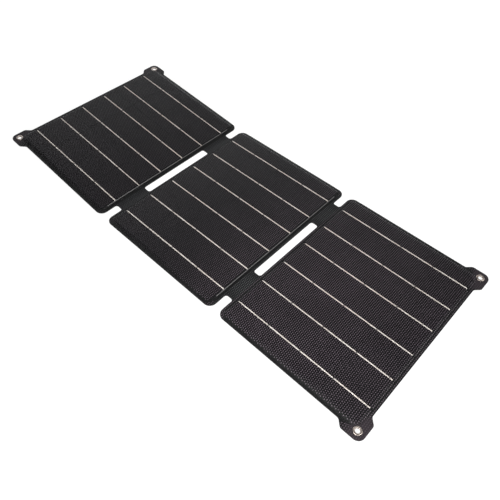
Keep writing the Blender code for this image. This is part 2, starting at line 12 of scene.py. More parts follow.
import bmesh
import bpy
import numpy as np
from mathutils import Matrix, Vector
from mathutils.geometry import delaunay_2d_cdt


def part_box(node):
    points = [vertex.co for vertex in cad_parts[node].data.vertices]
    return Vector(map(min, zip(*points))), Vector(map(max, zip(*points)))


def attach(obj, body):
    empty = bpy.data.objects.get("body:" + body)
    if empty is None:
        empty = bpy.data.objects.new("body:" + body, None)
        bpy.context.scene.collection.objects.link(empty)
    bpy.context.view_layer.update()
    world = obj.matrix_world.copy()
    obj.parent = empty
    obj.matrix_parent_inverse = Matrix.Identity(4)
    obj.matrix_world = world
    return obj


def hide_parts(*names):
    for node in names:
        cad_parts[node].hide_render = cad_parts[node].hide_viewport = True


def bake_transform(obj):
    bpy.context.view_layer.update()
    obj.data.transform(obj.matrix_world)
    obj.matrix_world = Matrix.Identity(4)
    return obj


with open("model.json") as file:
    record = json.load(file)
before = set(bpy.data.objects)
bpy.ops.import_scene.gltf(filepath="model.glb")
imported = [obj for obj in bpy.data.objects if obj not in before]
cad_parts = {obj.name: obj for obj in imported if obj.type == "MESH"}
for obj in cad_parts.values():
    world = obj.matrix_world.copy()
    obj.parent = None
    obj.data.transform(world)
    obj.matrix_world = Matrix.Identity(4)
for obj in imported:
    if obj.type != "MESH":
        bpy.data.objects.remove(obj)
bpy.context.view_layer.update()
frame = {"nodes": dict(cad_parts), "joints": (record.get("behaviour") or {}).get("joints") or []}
scene = bpy.context.scene
scene.view_settings.view_transform = "Standard"
# The denoiser's guides stay sharp, so that it keeps the film's small dots.
scene.cycles.denoising_prefilter = "NONE"

# %% [markdown]
# ## Sizes
# The joints say where the folds are and how far the left panel leans at rest, propped up by the box behind it.
# Boxes of the CAD nodes give the thicknesses and the reach of each layer, and only what a box can't tell is named here.
# A panel's own coordinates start at the middle of its back, and one matrix for each panel carries them to the row.

# %% Sizes from the frame
MM = 0.001
FAR_AWAY = 9.0  # a place on no panel, for a feature that a piece does without
JOINTS = {joint["name"]: joint for joint in frame["joints"]}
LEFT_AXIS = Vector(JOINTS["left_fold"]["pos_m"])
RIGHT_AXIS = Vector(JOINTS["right_fold"]["pos_m"])
LEAN = -math.radians(JOINTS["left_fold"]["range_deg"][0])
PITCH = 2 * RIGHT_AXIS.x
FOLD_GAP = 9.2 * MM
EDGE = (PITCH - FOLD_GAP) / 2
cloth_low, cloth_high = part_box("middle_back_cloth")
SIDE = cloth_high.y
CLOTH_TOP = cloth_high.z
film_low, film_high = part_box("middle_front_film")
FILM_X, FILM_Y = film_high.x, film_high.y
FILM_THICKNESS, FILM_CORNER = 0.26 * MM, 13.0 * MM
eyelet_low, eyelet_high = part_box("right_eyelet_near")
EYELET_X = (eyelet_low.x + eyelet_high.x) / 2 - PITCH
EYELET_Y = -(eyelet_low.y + eyelet_high.y) / 2
EYELET_RADIUS = (eyelet_high.x - eyelet_low.x) / 2

PANELS = {
    "left": Matrix.Translation(LEFT_AXIS) @ Matrix.Rotation(LEAN, 4, "Y")
    @ Matrix.Translation(-LEFT_AXIS) @ Matrix.Translation((-PITCH, 0, 0)),
    "middle": Matrix.Identity(4),
    "right": Matrix.Translation((PITCH, 0, 0)),
}
print(f"panels {2 * EDGE / MM:.1f} x {2 * SIDE / MM:.1f} mm, {PITCH / MM:.1f} mm apart")
print(f"the left one leans {math.degrees(LEAN):.2f} degrees")

# %% [markdown]
# ## Camera
# The ribbons on the panels are straight, evenly spaced lines, so their ends pin the camera down:
# its place, where it looks, its focal length and a small roll were solved from them.

# %% Camera
CAMERA_PLACE = Vector((282.59, -271.29, 409.46)) * MM
CAMERA_AIM = Vector((61.53, -29.96, 2.3)) * MM
CAMERA_ROLL = math.radians(1.057)

camera_data = bpy.data.cameras.new("camera")
camera_data.sensor_width = 36.0
camera_data.lens = 35.88
camera_data.clip_start = 0.01
camera = bpy.data.objects.new("camera", camera_data)
scene.collection.objects.link(camera)
facing = (CAMERA_AIM - CAMERA_PLACE).to_track_quat("-Z", "Y").to_matrix().to_4x4()
camera.matrix_world = Matrix.Translation(CAMERA_PLACE) @ facing @ Matrix.Rotation(CAMERA_ROLL, 4, "Z")
scene.camera = camera
print("camera", tuple(round(value, 3) for value in CAMERA_PLACE))

# %% [markdown]
# ## Node helpers
# Many surfaces here follow a rule, so node trees are written as formulas.
# A Field wraps one output of a tree, and the usual signs between Fields add Math nodes to that tree.
# The same helper serves Geometry Nodes and shaders, because both share the Math node.

# %% Node helpers
class Field:
    """A value in a node tree, which sums and products of Fields build Math nodes for."""

    def __init__(self, tree, socket):
        self.tree, self.socket = tree, socket

    def math(self, operation, *others):
        node = add(self.tree, "ShaderNodeMath", dict(enumerate((self, *others))), operation=operation)
        return Field(self.tree, node.outputs[0])

    def __add__(self, other):
        return self.math("ADD", other)

    def __sub__(self, other):
        return self.math("SUBTRACT", other)

    def __mul__(self, other):
        return self.math("MULTIPLY", other)

    def __truediv__(self, other):
        return self.math("DIVIDE", other)

    def ramp(self, start, end, low=0.0, high=1.0, kind="LINEAR"):
        """Goes from low at start to high at end in a straight line, and stays there."""
        inputs = {"Value": self, "From Min": start, "From Max": end, "To Min": low, "To Max": high}
        node = add(self.tree, "ShaderNodeMapRange", inputs, interpolation_type=kind)
        return Field(self.tree, node.outputs["Result"])

    def smooth(self, *limits):
        """A ramp with soft ends."""
        return self.ramp(*limits, kind="SMOOTHSTEP")


def feed(tree, socket, value):
    """Links a Field or a socket to an input, or sets the input to a constant."""
    value = value.socket if isinstance(value, Field) else value
    if isinstance(value, bpy.types.NodeSocket):
        tree.links.new(value, socket)
    else:
        socket.default_value = value


def add(tree, kind, inputs=None, **options):
    """Adds a node with its options set and its inputs fed, by name or by number."""
    node = tree.nodes.new(kind)
    for name, value in options.items():
        setattr(node, name, value)
    for key, value in (inputs or {}).items():
        feed(tree, node.inputs[key], value)
    return node


def out(tree, kind, inputs=None, **options):
    """The first output of a new node."""
    return add(tree, kind, inputs, **options).outputs[0]


def vector(tree, x=0.0, y=0.0, z=0.0):
    """A vector from its three parts."""
    return out(tree, "ShaderNodeCombineXYZ", {0: x, 1: y, 2: z})


def split(tree, whole):
    """The x, y and z of a vector as Fields."""
    node = add(tree, "ShaderNodeSeparateXYZ", {0: whole})
    return [Field(tree, socket) for socket in node.outputs]


def mix(tree, share, first, second):
    """The colour between two colours, at a share from 0 to 1."""
    return add(tree, "ShaderNodeMix", {0: share, 6: first, 7: second}, data_type="RGBA").outputs[2]


def new_tree(name, kind, inputs, outputs):
    """A node group with named inputs and outputs; returns it with its input sockets by name and its output node."""
    tree = bpy.data.node_groups.new(name, kind)
    for title, socket_type, default in inputs:
        socket = tree.interface.new_socket(name=title, in_out="INPUT", socket_type=socket_type)
        if default is not None:
            socket.default_value = default
    for title, socket_type in outputs:
        tree.interface.new_socket(name=title, in_out="OUTPUT", socket_type=socket_type)
    entry = tree.nodes.new("NodeGroupInput")
    sockets = {socket.name: socket for socket in entry.outputs if socket.name}
    return tree, sockets, tree.nodes.new("NodeGroupOutput")


def geometry_tree(name, numbers, *materials, counts=None):
    """A Geometry Nodes tree with inputs for numbers and counts, by their usual values, and for materials."""
    inputs = [("Geometry", "NodeSocketGeometry", None)]
    inputs += [(title, "NodeSocketFloat", usual) for title, usual in numbers.items()]
    inputs += [(title, "NodeSocketInt", usual) for title, usual in (counts or {}).items()]
    inputs += [(title, "NodeSocketMaterial", None) for title in materials]
    tree, given, result = new_tree(name, "GeometryNodeTree", inputs, [("Geometry", "NodeSocketGeometry")])
    return tree, {title: Field(tree, socket) for title, socket in given.items()}, result.inputs[0]


print("node helpers ready")

# %% [markdown]
# ## Backdrop and light
# The photo is a cut-out on pure white, but the mat's own surfaces tell how it was lit. The far left is hazy, as film is
# when it mirrors a white sweep low behind it, and the near edge is bright again, as if a lamp stood close to it.
# So the sky is bright only low down at the back left. One soft lamp stands near the viewer's side, one on the right,
# and one at the back right, which draws a bright line along the films' creases.

# %% Backdrop and light
def visible_share(tree):
    """1 for a ray that the viewer sees directly, in a mirror or through glass, and 0 for light that lands on things."""
    rays = add(tree, "ShaderNodeLightPath").outputs
    seen, glossy, through = (Field(tree, rays[f"Is {kind} Ray"]) for kind in ("Camera", "Glossy", "Transmission"))
    return seen.math("MAXIMUM", glossy).math("MAXIMUM", through)


world = bpy.data.worlds.new("studio")
world.use_nodes = True
scene.world = world
sky = world.node_tree
sky.nodes.clear()
direction = split(sky, add(sky, "ShaderNodeTexCoord").outputs["Generated"])
back_left = direction[0].smooth(-0.25, 0.1, 1.0, 0.0) * direction[1].smooth(-0.1, 0.25)
sweep = back_left * direction[0].smooth(-0.75, -0.45, 1.5, 1.0) * direction[2].smooth(0.35, 0.86, 1.8, 0.0)
glow = sweep + direction[2].smooth(0.86, 0.92, 0.06, 0.15)
seen = Field(sky, add(sky, "ShaderNodeLightPath").outputs["Is Camera Ray"])
strength = seen + glow * (seen * -1.0 + 1.0)
sky_colour = mix(sky, seen, (0.98, 0.99, 1.0, 1.0), (1.0, 1.0, 1.0, 1.0))
background = out(sky, "ShaderNodeBackground", {"Color": sky_colour, "Strength": strength})
add(sky, "ShaderNodeOutputWorld", {"Surface": background})

paper = bpy.data.materials.new("white_paper")
paper.use_nodes = True
tree = paper.node_tree
tree.nodes.clear()
matt = out(tree, "ShaderNodeBsdfDiffuse", {"Color": (0.92, 0.92, 0.92, 1.0)})
lit = out(tree, "ShaderNodeEmission", {"Color": (1.0, 1.0, 1.0, 1.0), "Strength": 1.1})
x, y, _ = split(tree, add(tree, "ShaderNodeTexCoord").outputs["Object"])
whiter = (x.math("POWER", 2.0) + y.math("POWER", 2.0)).math("SQRT").smooth(0.25, 0.6, 0.85, 1.0)
top_side = out(tree, "ShaderNodeMixShader", {0: visible_share(tree) * whiter, 1: matt, 2: lit})
# From below, the floor lets the mat's back be seen.
below = add(tree, "ShaderNodeNewGeometry").outputs["Backfacing"]
sheer = out(tree, "ShaderNodeBsdfTransparent")
both_sides = out(tree, "ShaderNodeMixShader", {0: below, 1: top_side, 2: sheer})
add(tree, "ShaderNodeOutputMaterial", {"Surface": both_sides})

floor_mesh = bpy.data.meshes.new("floor")
FLOOR_HALF, FLOOR_HEIGHT = 4.0, -0.3 * MM
floor_corners = [(x * FLOOR_HALF, y * FLOOR_HALF, FLOOR_HEIGHT) for x, y in ((-1, -1), (1, -1), (1, 1), (-1, 1))]
floor_mesh.from_pydata(floor_corners, [], [(0, 1, 2, 3)])
floor_mesh.materials.append(paper)
floor = bpy.data.objects.new("floor", floor_mesh)
scene.collection.objects.link(floor)


LAMP_AIM = Vector((0.05, 0, 0))


def softbox(name, place, size, power):
    """A square area lamp that faces the middle of the mat."""
    data = bpy.data.lights.new(name, "AREA")
    data.size, data.energy = size, power
    lamp = bpy.data.objects.new(name, data)
    place = Vector(place)
    lamp.matrix_world = Matrix.Translation(place) @ (LAMP_AIM - place).to_track_quat("-Z", "Y").to_matrix().to_4x4()
    lamp.visible_camera = False
    scene.collection.objects.link(lamp)


softbox("near", (0.2, -0.42, 0.3), 0.25, 3.0)
softbox("right", (0.75, -0.1, 0.5), 0.25, 3.5)
softbox("back", (0.83, 0.56, 0.65), 0.5, 3.0)
print("backdrop and three lamps ready")

# %% [markdown]
# ## Shared surface effects
# Three effects turn up on several materials, so each is a node group of its own.
# Mottle is the slow drift of tone in anything pressed or dyed. Grain is the fine roughness of moulded or plated faces.
# Weave is a plain weave: threads over and under each other, each rounded across its width.

# %% Shared surface effects
def effect_group(name, inputs, *outputs):
    """A shader group that starts from a place and has inputs for numbers and colours, by their usual values."""
    sockets = [("Vector", "NodeSocketVector", None)]
    sockets += [(title, f"NodeSocket{'Color' if isinstance(usual, tuple) else 'Float'}", usual) for title, usual in inputs.items()]
    return new_tree(name, "ShaderNodeTree", sockets, [(title, f"NodeSocket{kind}") for title, kind in outputs])


def mottle_group():
    inputs = {"Scale": 30.0, "Dark": (0.0, 0.0, 0.0, 1.0), "Light": (1.0, 1.0, 1.0, 1.0)}
    tree, given, result = effect_group("mottle", inputs, ("Colour", "Color"))
    noise = out(tree, "ShaderNodeTexNoise", {"Vector": given["Vector"], "Scale": given["Scale"], "Detail": 2.0})
    share = Field(tree, noise).smooth(0.32, 0.68)
    feed(tree, result.inputs["Colour"], mix(tree, share, given["Dark"], given["Light"]))
    return tree


def raised(tree, given, result, height, title):
    """Ends a group with a height, and with the normal of a surface raised by it."""
    feed(tree, result.inputs["Normal"], out(tree, "ShaderNodeBump", {"Height": height, "Distance": given["Depth"]}))
    feed(tree, result.inputs[title], height)
    return tree


def grain_group():
    inputs = {"Scale": 2000.0, "Depth": 0.02 * MM}
    tree, given, result = effect_group("grain", inputs, ("Normal", "Vector"), ("Value", "Float"))
    noise = out(tree, "ShaderNodeTexNoise", {"Vector": given["Vector"], "Scale": given["Scale"], "Detail": 3.0})
    return raised(tree, given, result, noise, "Value")


def weave_group():
    inputs = {"Pitch": 0.6 * MM, "Depth": 0.08 * MM}
    tree, given, result = effect_group("weave", inputs, ("Normal", "Vector"), ("Height", "Float"))
    across, along = (value / Field(tree, given["Pitch"]) for value in split(tree, given["Vector"])[:2])
    over = (across.math("FLOOR") + along.math("FLOOR")).math("FLOORED_MODULO", 2.0)
    warp, weft = ((value * math.pi).math("SINE").math("ABSOLUTE") for value in (across, along))
    return raised(tree, given, result, over * warp + (over * -1.0 + 1.0) * weft, "Height")


MOTTLE, GRAIN, WEAVE = mottle_group(), grain_group(), weave_group()


def effect(tree, group, **inputs):
    """Puts a shared effect into a material."""
    node = add(tree, "ShaderNodeGroup", node_tree=group)
    for name, value in inputs.items():
        feed(tree, node.inputs[name], value)
    return node.outputs


def mottled(tree, place, scale, dark, light):
    """A colour that drifts between two tones."""
    return effect(tree, MOTTLE, Vector=place, Scale=scale, Dark=(*dark, 1.0), Light=(*light, 1.0))["Colour"]


def attribute(tree, name):
    """A value stored on the mesh, as a Field."""
    return Field(tree, add(tree, "ShaderNodeAttribute", attribute_name=name).outputs["Fac"])


def material(name, **constants):
    """A material with one Principled shader; returns it with its tree, the shader and Object coordinates."""
    made = bpy.data.materials.new(name)
    made.use_nodes = True
    tree = made.node_tree
    shader = tree.nodes["Principled BSDF"]
    for key, value in constants.items():
        shader.inputs[key.replace("_", " ")].default_value = value
    return made, tree, shader.inputs, add(tree, "ShaderNodeTexCoord").outputs["Object"]


print("groups:", ", ".join(group.name for group in (MOTTLE, GRAIN, WEAVE)))

# %% [markdown]
# ## Outlines and sheets
# Cloth and film are both cut from flat sheet, so both start as an outline with rounded corners.
# A sheet is a top and a bottom over the same outline, joined by a wall. Its faces are found by triangulating the outline
# with any points that the surface needs inside it: the places where its relief changes.
# At first the top lies at height 1 and the bottom at 0; a later step puts both at their real heights.

# %% Outlines and sheets
def rounded(corners):
    """A closed outline through corners (x, y, radius), with an arc at each corner that has a radius."""
    outline = []
    places = [Vector((x, y)) for x, y, _ in corners]
    for index, (_, _, radius) in enumerate(corners):
        here = places[index]
        before = (places[index - 1] - here).normalized()
        after = (places[(index + 1) % len(corners)] - here).normalized()
        if radius <= 0:
            outline.append(here)
            continue
        half = before.angle(after) / 2
        centre = here + (before + after).normalized() * radius / math.sin(half)
        start = here + before * radius / math.tan(half) - centre
        turn = start.angle_signed(here + after * radius / math.tan(half) - centre)
        steps = max(3, math.ceil(abs(turn) / math.radians(6)))
        outline += [centre + Matrix.Rotation(-turn * step / steps, 2) @ start for step in range(steps + 1)]
    return outline


def circle(x, y, radius, count=40):
    """A closed round outline."""
    angles = [math.tau * k / count for k in range(count)]
    return [Vector((x + radius * math.cos(a), y + radius * math.sin(a))) for a in angles]


def spaced(outline, step):
    """The same outline with a point at least every step."""
    points = []
    for start, end in zip(outline, outline[1:] + outline[:1]):
        count = max(1, math.ceil((end - start).length / step - 1e-6))
        points += [start.lerp(end, k / count) for k in range(count)]
    return points


def depth_inside(points, outline):
    """How far inside an outline each point lies, below zero for a point outside."""
    nearest, inside = np.full(len(points), np.inf), np.zeros(len(points), bool)
    for start, end in zip(outline, outline[1:] + outline[:1]):
        run = np.array(end - start)
        if not run.any():
            continue
        offset = points - np.array(start)
        share = np.clip(offset @ run / (run @ run), 0, 1)
        nearest = np.minimum(nearest, np.linalg.norm(offset - share[:, None] * run, axis=1))
        crosses = (start.y > points[:, 1]) != (end.y > points[:, 1])
        inside ^= crosses & (offset[:, 0] < offset[:, 1] / (run[1] or 1.0) * run[0])
    return np.where(inside, nearest, -nearest)


def inside_faces(faces, edges):
    """The faces to the left of a rim's edges. Those outside it or in a hole are flooded from its right and left out."""
    owner = {(a, b): index for index, face in enumerate(faces) for a, b in zip(face, face[1:] + face[:1])}
    rim, gone = set(edges), set()
    waste = [owner[b, a] for a, b in edges if (b, a) in owner]
    while waste:
        index = waste.pop()
        if index not in gone:
            gone.add(index)
            sides = zip(faces[index], faces[index][1:] + faces[index][:1])
            waste += [owner[b, a] for a, b in sides if (b, a) in owner and (a, b) not in rim and (b, a) not in rim]
    return [face for index, face in enumerate(faces) if index not in gone]


def sheet_mesh(name, loops, top_points, bottom_points):
    """A closed sheet inside the first loop and outside the others: top (material 0), bottom (1) and wall (2)."""
    rim = [point for loop in loops for point in loop]
    edges, first = [], 0
    for loop in loops:
        edges += [(first + k, first + (k + 1) % len(loop)) for k in range(len(loop))]
        first += len(loop)
    vertices, faces, kinds = [], [], []
    for height, inner in ((1.0, top_points), (0.0, bottom_points)):
        flat = rim + [Vector(point) for point in inner]
        found = delaunay_2d_cdt([point / MM for point in flat], edges, [], 0, 1e-6, False)
        assert len(found[0]) == len(flat), "points of a sheet fell together"
        kept = inside_faces(found[2], edges)
        shift = len(vertices)
        vertices += [(point.x, point.y, height) for point in flat]
        faces += [[shift + k for k in (face if height else reversed(face))] for face in kept]
        kinds += [0 if height else 1] * len(kept)
    # The wall joins the two rims; the outer loop runs anticlockwise and the holes run clockwise.
    below = len(rim) + len(top_points)
    faces += [(a, below + a, below + b, b) for a, b in edges]
    kinds += [2] * len(edges)
    mesh = bpy.data.meshes.new(name)
    mesh.from_pydata(vertices, [], faces)
    mesh.polygons.foreach_set("material_index", kinds)
    mesh.polygons.foreach_set("use_smooth", [kind == 0 for kind in kinds])
    layer = mesh.uv_layers.new(name="panel")
    corner_vertices = np.empty(len(mesh.loops), np.int32)
    mesh.loops.foreach_get("vertex_index", corner_vertices)
    layer.data.foreach_set("uv", np.array(vertices)[corner_vertices, :2].ravel())
    mesh.validate()
    return mesh


def grown(mesh, tree, values, name):
    """The plain mesh that a Geometry Nodes tree makes of a mesh."""
    carrier = bpy.data.objects.new("carrier", mesh)
    scene.collection.objects.link(carrier)
    modifier = carrier.modifiers.new("tree", "NODES")
    modifier.node_group = tree
    names = {item.name: item.identifier for item in tree.interface.items_tree if item.in_out == "INPUT"}
    for title, value in values.items():
        modifier[names[title]] = value
    made = bpy.data.meshes.new_from_object(carrier.evaluated_get(bpy.context.evaluated_depsgraph_get()))
    made.name = name
    bpy.data.objects.remove(carrier)
    return made


def piece(name, mesh, nodes, body=None):
    """A finished piece that stands for CAD nodes and hides them, riding on a body if one is given."""
    made = bpy.data.objects.new(name, mesh)
    scene.collection.objects.link(made)
    if body:
        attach(made, body)
    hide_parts(*nodes)
    return made


print("sheet helpers ready")

# %% [markdown]
# ## Embossed relief
# A mat like this is laminated under a hot press whose plate is pitted, so the film sets with a grid of small raised dots.
# They stand in columns, and every other column is shifted by half a step. Their tops come out frosted, with a lighter
# colour that is partly painted glint, and over the bright ribbons they stay clear. The press also forms the film down
# over the edge of the board inside, and a light band on a sharp crest there is a painted highlight.
# The tree works all of this out for every point from its place, so its inputs hold the whole pattern.

# %% Embossed relief
COLUMN_PITCH, DOT_PITCH = 2.02 * MM, 2.17 * MM
DOT_WIDTH, DOT_LENGTH = 0.46 * MM, 0.68 * MM
ROW_PITCH, RIBBON_SPACING = 66.7 * MM, 34.1 * MM
CREST_SHARE, CREST_DROP, CREST_END = 0.45, 0.37, 7.0 * MM


def relief_tree():
    numbers = {
        "Column Pitch": COLUMN_PITCH, "Dot Pitch": DOT_PITCH, "Dot Width": DOT_WIDTH, "Dot Length": DOT_LENGTH,
        "Dot Height": 0.0, "First Column": 0.0, "Half Length": 1.0, "Half Width": 1.0, "End Slope": 1.0, "Side Slope": 1.0,
        "Top": 0.0, "Rim": 0.0, "Smooth From": FAR_AWAY, "Smooth To": FAR_AWAY, "Clear Width": 0.0, "Thickness": 0.0}
    tree, value, result = geometry_tree("relief", numbers, "Material", "Dot Material", "Crest Highlight Material")
    x, y, level = split(tree, out(tree, "GeometryNodeInputPosition"))
    # Distance from the middle of the nearest dot; odd columns are shifted by half a step.
    across = x - value["First Column"]
    column = (across / value["Column Pitch"]).math("ROUND")
    step = y / value["Dot Pitch"] + column.math("FLOORED_MODULO", 2.0) * 0.5
    off_x, off_y = across - column * value["Column Pitch"], (step - step.math("ROUND")) * value["Dot Pitch"]
    reach = (off_x / value["Dot Width"]).math("POWER", 2.0) + (off_y / value["Dot Length"]).math("POWER", 2.0)
    pressed = x.math("LESS_THAN", value["Smooth From"]) + x.math("GREATER_THAN", value["Smooth To"])
    # The film falls from a sharp crest at the ends, steeper further down, and in a soft curve along the sides.
    past = (x.math("ABSOLUTE") - value["Half Length"]) / value["End Slope"]
    end = past.ramp(0.0, CREST_SHARE, 0.0, CREST_DROP) + past.ramp(CREST_SHARE, 1.0, 0.0, 1.0 - CREST_DROP)
    side = ((y.math("ABSOLUTE") - value["Half Width"]) / value["Side Slope"]).smooth(0.0, 1.0)
    form = end.math("MAXIMUM", side).ramp(0.0, 1.0, value["Top"], value["Rim"])
    dot = (reach * -1.0).math("EXPONENT") * value["Dot Height"]
    place = vector(tree, x, y, form + (level - 1.0) * value["Thickness"] + level * pressed * dot)
    formed = out(tree, "GeometryNodeSetPosition", {"Geometry": value["Geometry"], "Position": place})
    shown = out(tree, "GeometryNodeRealizeInstances", {0: formed})
    # The faces round the middle of a whole dot are frosted and given a lighter colour that is partly painted glint,
    # unless they lie over a ribbon or on a slope.
    on_top = Field(tree, out(tree, "GeometryNodeInputMaterialIndex")).math("LESS_THAN", 0.5)
    off_row = (y - (y / ROW_PITCH).math("ROUND") * ROW_PITCH).math("ABSOLUTE") - RIBBON_SPACING / 2
    off_ribbon = off_row.math("ABSOLUTE").math("GREATER_THAN", value["Clear Width"])
    near_dot = {0: reach.math("LESS_THAN", 1.1)}
    ring = Field(tree, out(tree, "GeometryNodeFieldOnDomain", near_dot, domain="POINT", data_type="FLOAT"))
    whole = ring.math("GREATER_THAN", 0.99) * reach.math("LESS_THAN", 0.8)
    off_slope = x.math("GREATER_THAN", value["Half Length"] * -1.0) * side.math("LESS_THAN", 0.6)
    frosted = on_top * pressed * whole * off_slope * off_ribbon
    # A sharp crest gets a light band of colour, a painted highlight along the bend.
    along = y.math("ABSOLUTE").math("LESS_THAN", value["Half Width"] - CREST_END)
    bent = past.math("GREATER_THAN", 0.0) * past.math("LESS_THAN", CREST_SHARE) * along
    crest_highlight = on_top * bent * x.math("GREATER_THAN", value["Smooth From"])
    for where, title in ((on_top, "Material"), (frosted, "Dot Material"), (crest_highlight, "Crest Highlight Material")):
        shown = out(tree, "GeometryNodeSetMaterial", {"Geometry": shown, "Selection": where, "Material": value[title]})
    feed(tree, result, shown)
    return tree


RELIEF = relief_tree()


def dot_points(low_x, high_x, half_y, first_column=0.0):
    """Points that catch the relief: the middle of each dot, a ring round it, and the low places between dots."""
    low_place = (COLUMN_PITCH - DOT_PITCH ** 2 / (4 * COLUMN_PITCH)) / 2
    ring = [(DOT_WIDTH * math.cos(a), DOT_LENGTH * math.sin(a)) for a in (k * math.pi / 3 for k in range(6))]
    pattern = [(0.0, 0.0), *ring, (low_place, DOT_PITCH / 2), (-low_place, DOT_PITCH / 2)]
    points = []
    low, high = ((x - first_column) / COLUMN_PITCH for x in (low_x, high_x))
    rows = math.ceil(half_y / DOT_PITCH) + 1
    for column in range(math.floor(low), math.ceil(high) + 1):
        for row in range(-rows, rows + 1):
            x, y = first_column + column * COLUMN_PITCH, (row - 0.5 * (column % 2)) * DOT_PITCH
            points += [(x + a, y + b) for a, b in pattern]
    return np.array(points)


print(f"relief tree with {len(RELIEF.nodes)} nodes")

# %% [markdown]
# ## Front films
# Each panel is sealed under its own clear film. The film is thin and tinted only by what is under it,
# so it is a shader with a fixed, low opacity and a soft gloss, and the cells and ribbons show through.
# Only the frosted dots are solid, and their lighter colour is partly painted glint and painted light. Its underside is
# bonded to the layers below, so those faces are clear.

# %% Front film material
def dot_material(name, tint):
    """The frosted top of a pressed dot, whose lighter colour is partly painted glint, and whose tone is painted light
    that changes with place.
    """
    made, tree, inputs, place = material(name, Roughness=0.3, Specular_IOR_Level=0.35)
    x, y, _ = split(tree, place)
    # Painted light: the dots are dimmest on the left panel, brighten across the middle panel to full on the right
    # panel, and fade a little towards its far end and the far side.
    clear = x.smooth(-0.05 * PITCH, 0.62 * PITCH, 0.25, 1.0) * x.smooth(PITCH, PITCH + EDGE, 1.0, 0.8)
    clear = clear * y.smooth(0.0, SIDE, 1.0, 0.66)
    feed(tree, inputs["Base Color"], mix(tree, clear, (0.003, 0.003, 0.004, 1.0), tint(tree, place)))
    return made


def purple_tint(tree, place):
    return mottled(tree, place, 22.0, (0.086, 0.068, 0.081), (0.110, 0.087, 0.104))


FILM = material("embossed_film", Base_Color=(0.002, 0.002, 0.003, 1.0), Roughness=0.5, IOR=1.65, Alpha=0.19)[0]
FILM_DOT = dot_material("film_dot", purple_tint)
# The crest's light colour is a painted highlight along the sharp bend at the films' ends.
CREST_HIGHLIGHT = material("film_crest_highlight", Base_Color=(0.085, 0.082, 0.082, 1.0), Roughness=0.5)[0]
BOND = material("clear_bond", Alpha=0.0)[0]
FILM_EDGE = material("film_edge", Base_Color=(0.02, 0.02, 0.022, 1.0), Roughness=0.5, Alpha=0.5)[0]
print("film materials ready")

# %% Front films
CREST_X, CREST_Y = 77.2 * MM, 101.8 * MM
END_SLOPE, SIDE_SLOPE = 1.22 * MM, 5.0 * MM
DOT_HEIGHTS = {"left": 0.03 * MM, "middle": 0.05 * MM, "right": 0.12 * MM}


def box_outline(half_x, half_y, radius):
    """A rounded rectangle about the origin."""
    return rounded([(x * half_x, y * half_y, radius) for x, y in ((-1, -1), (1, -1), (1, 1), (-1, 1))])


film_outline = box_outline(FILM_X, FILM_Y, FILM_CORNER)
LAST_COLUMN_SHIFT = -0.35 * MM
relief_points = dot_points(-FILM_X, FILM_X, FILM_Y, LAST_COLUMN_SHIFT)
slope_lines = [box_outline(CREST_X + share * END_SLOPE, CREST_Y + share * SIDE_SLOPE, 4.0 * MM) for share in (0, 1)]
under_points = np.array([point for line in slope_lines for point in spaced(line, 2.0 * MM)])
crest_lines = [CREST_X + share * END_SLOPE for share in (0.0, CREST_SHARE, 1.0)]
crest_points = np.array([(x, y) for x in crest_lines for y in np.arange(-FILM_Y, FILM_Y, 1.0 * MM)])


def film_sheet(top_points):
    """A flat film with points for its relief."""
    inside = [points[depth_inside(points, film_outline) > 0.35 * MM] for points in (top_points, under_points)]
    mesh = sheet_mesh("film", [spaced(film_outline, 1.0 * MM)], *inside)
    for surface in (FILM, BOND, FILM_EDGE):
        mesh.materials.append(surface)
    return mesh


# The right-hand end of the left and middle panels has a sharp crest, and stayed smooth in the press.
SMOOTH_END = CREST_X - 1.0 * MM
crested = film_sheet(np.vstack([relief_points[relief_points[:, 0] < SMOOTH_END], crest_points]))
SHEETS = {"left": (crested, SMOOTH_END), "middle": (crested, SMOOTH_END), "right": (film_sheet(relief_points), FAR_AWAY)}
film_form = {
    "First Column": LAST_COLUMN_SHIFT, "Half Length": CREST_X, "Half Width": CREST_Y, "End Slope": END_SLOPE,
    "Side Slope": SIDE_SLOPE, "Clear Width": 0.9 * MM, "Top": film_high.z - 0.08 * MM, "Rim": film_low.z + FILM_THICKNESS,
    "Thickness": FILM_THICKNESS, "Material": FILM, "Dot Material": FILM_DOT, "Crest Highlight Material": CREST_HIGHLIGHT}
for side, matrix in PANELS.items():
    sheet, smooth_from = SHEETS[side]
    mesh = grown(sheet, RELIEF, {**film_form, "Dot Height": DOT_HEIGHTS[side], "Smooth From": smooth_from}, "film")
    mesh.set_sharp_from_angle(angle=math.radians(35))
    mesh.transform(matrix)
    piece(f"{side}_film", mesh, [f"{side}_front_film"], f"{side}_panel")
print(f"three films of {len(mesh.polygons)} faces")

# %% [markdown]
# ## Cloth
# The back of the whole mat is one die-cut cloth: panel outlines, two tabs at each fold with a slot between them, and an
# ear with an eyelet hole on each outer corner. It bends only in the tabs. It is made here in two pieces that meet
# under the middle panel, each across one fold, and the left one is bent there as far as the left panel leans at rest.
# The press marks the cloth's face with the same dots, but lower, and only where the film doesn't cover it.

# %% Cloth materials
TAB_INNER, TAB_OUTER, TAB_FILLET, PANEL_CORNER = 47.0 * MM, 86.0 * MM, 2.8 * MM, 8.0 * MM
FAR_EDGE, END = EDGE + FOLD_GAP, PITCH + EDGE


def flat_place(tree):
    """The place on the cloth before it bends, as a vector."""
    return out(tree, "ShaderNodeUVMap", uv_map="panel")


def on_ear(tree):
    """1 on an ear, where the press hardly marked the cloth, and 0 elsewhere."""
    x, y, _ = split(tree, flat_place(tree))
    return x.smooth(END - 14.0 * MM, END - 6.0 * MM) * y.math("ABSOLUTE").smooth(SIDE - 22.0 * MM, SIDE - 14.0 * MM)


def on_tab(tree):
    """1 on the tabs and 0 on the panels."""
    x = split(tree, flat_place(tree))[0]
    return x.math("GREATER_THAN", EDGE - 2.0 * MM) * x.math("LESS_THAN", FAR_EDGE)


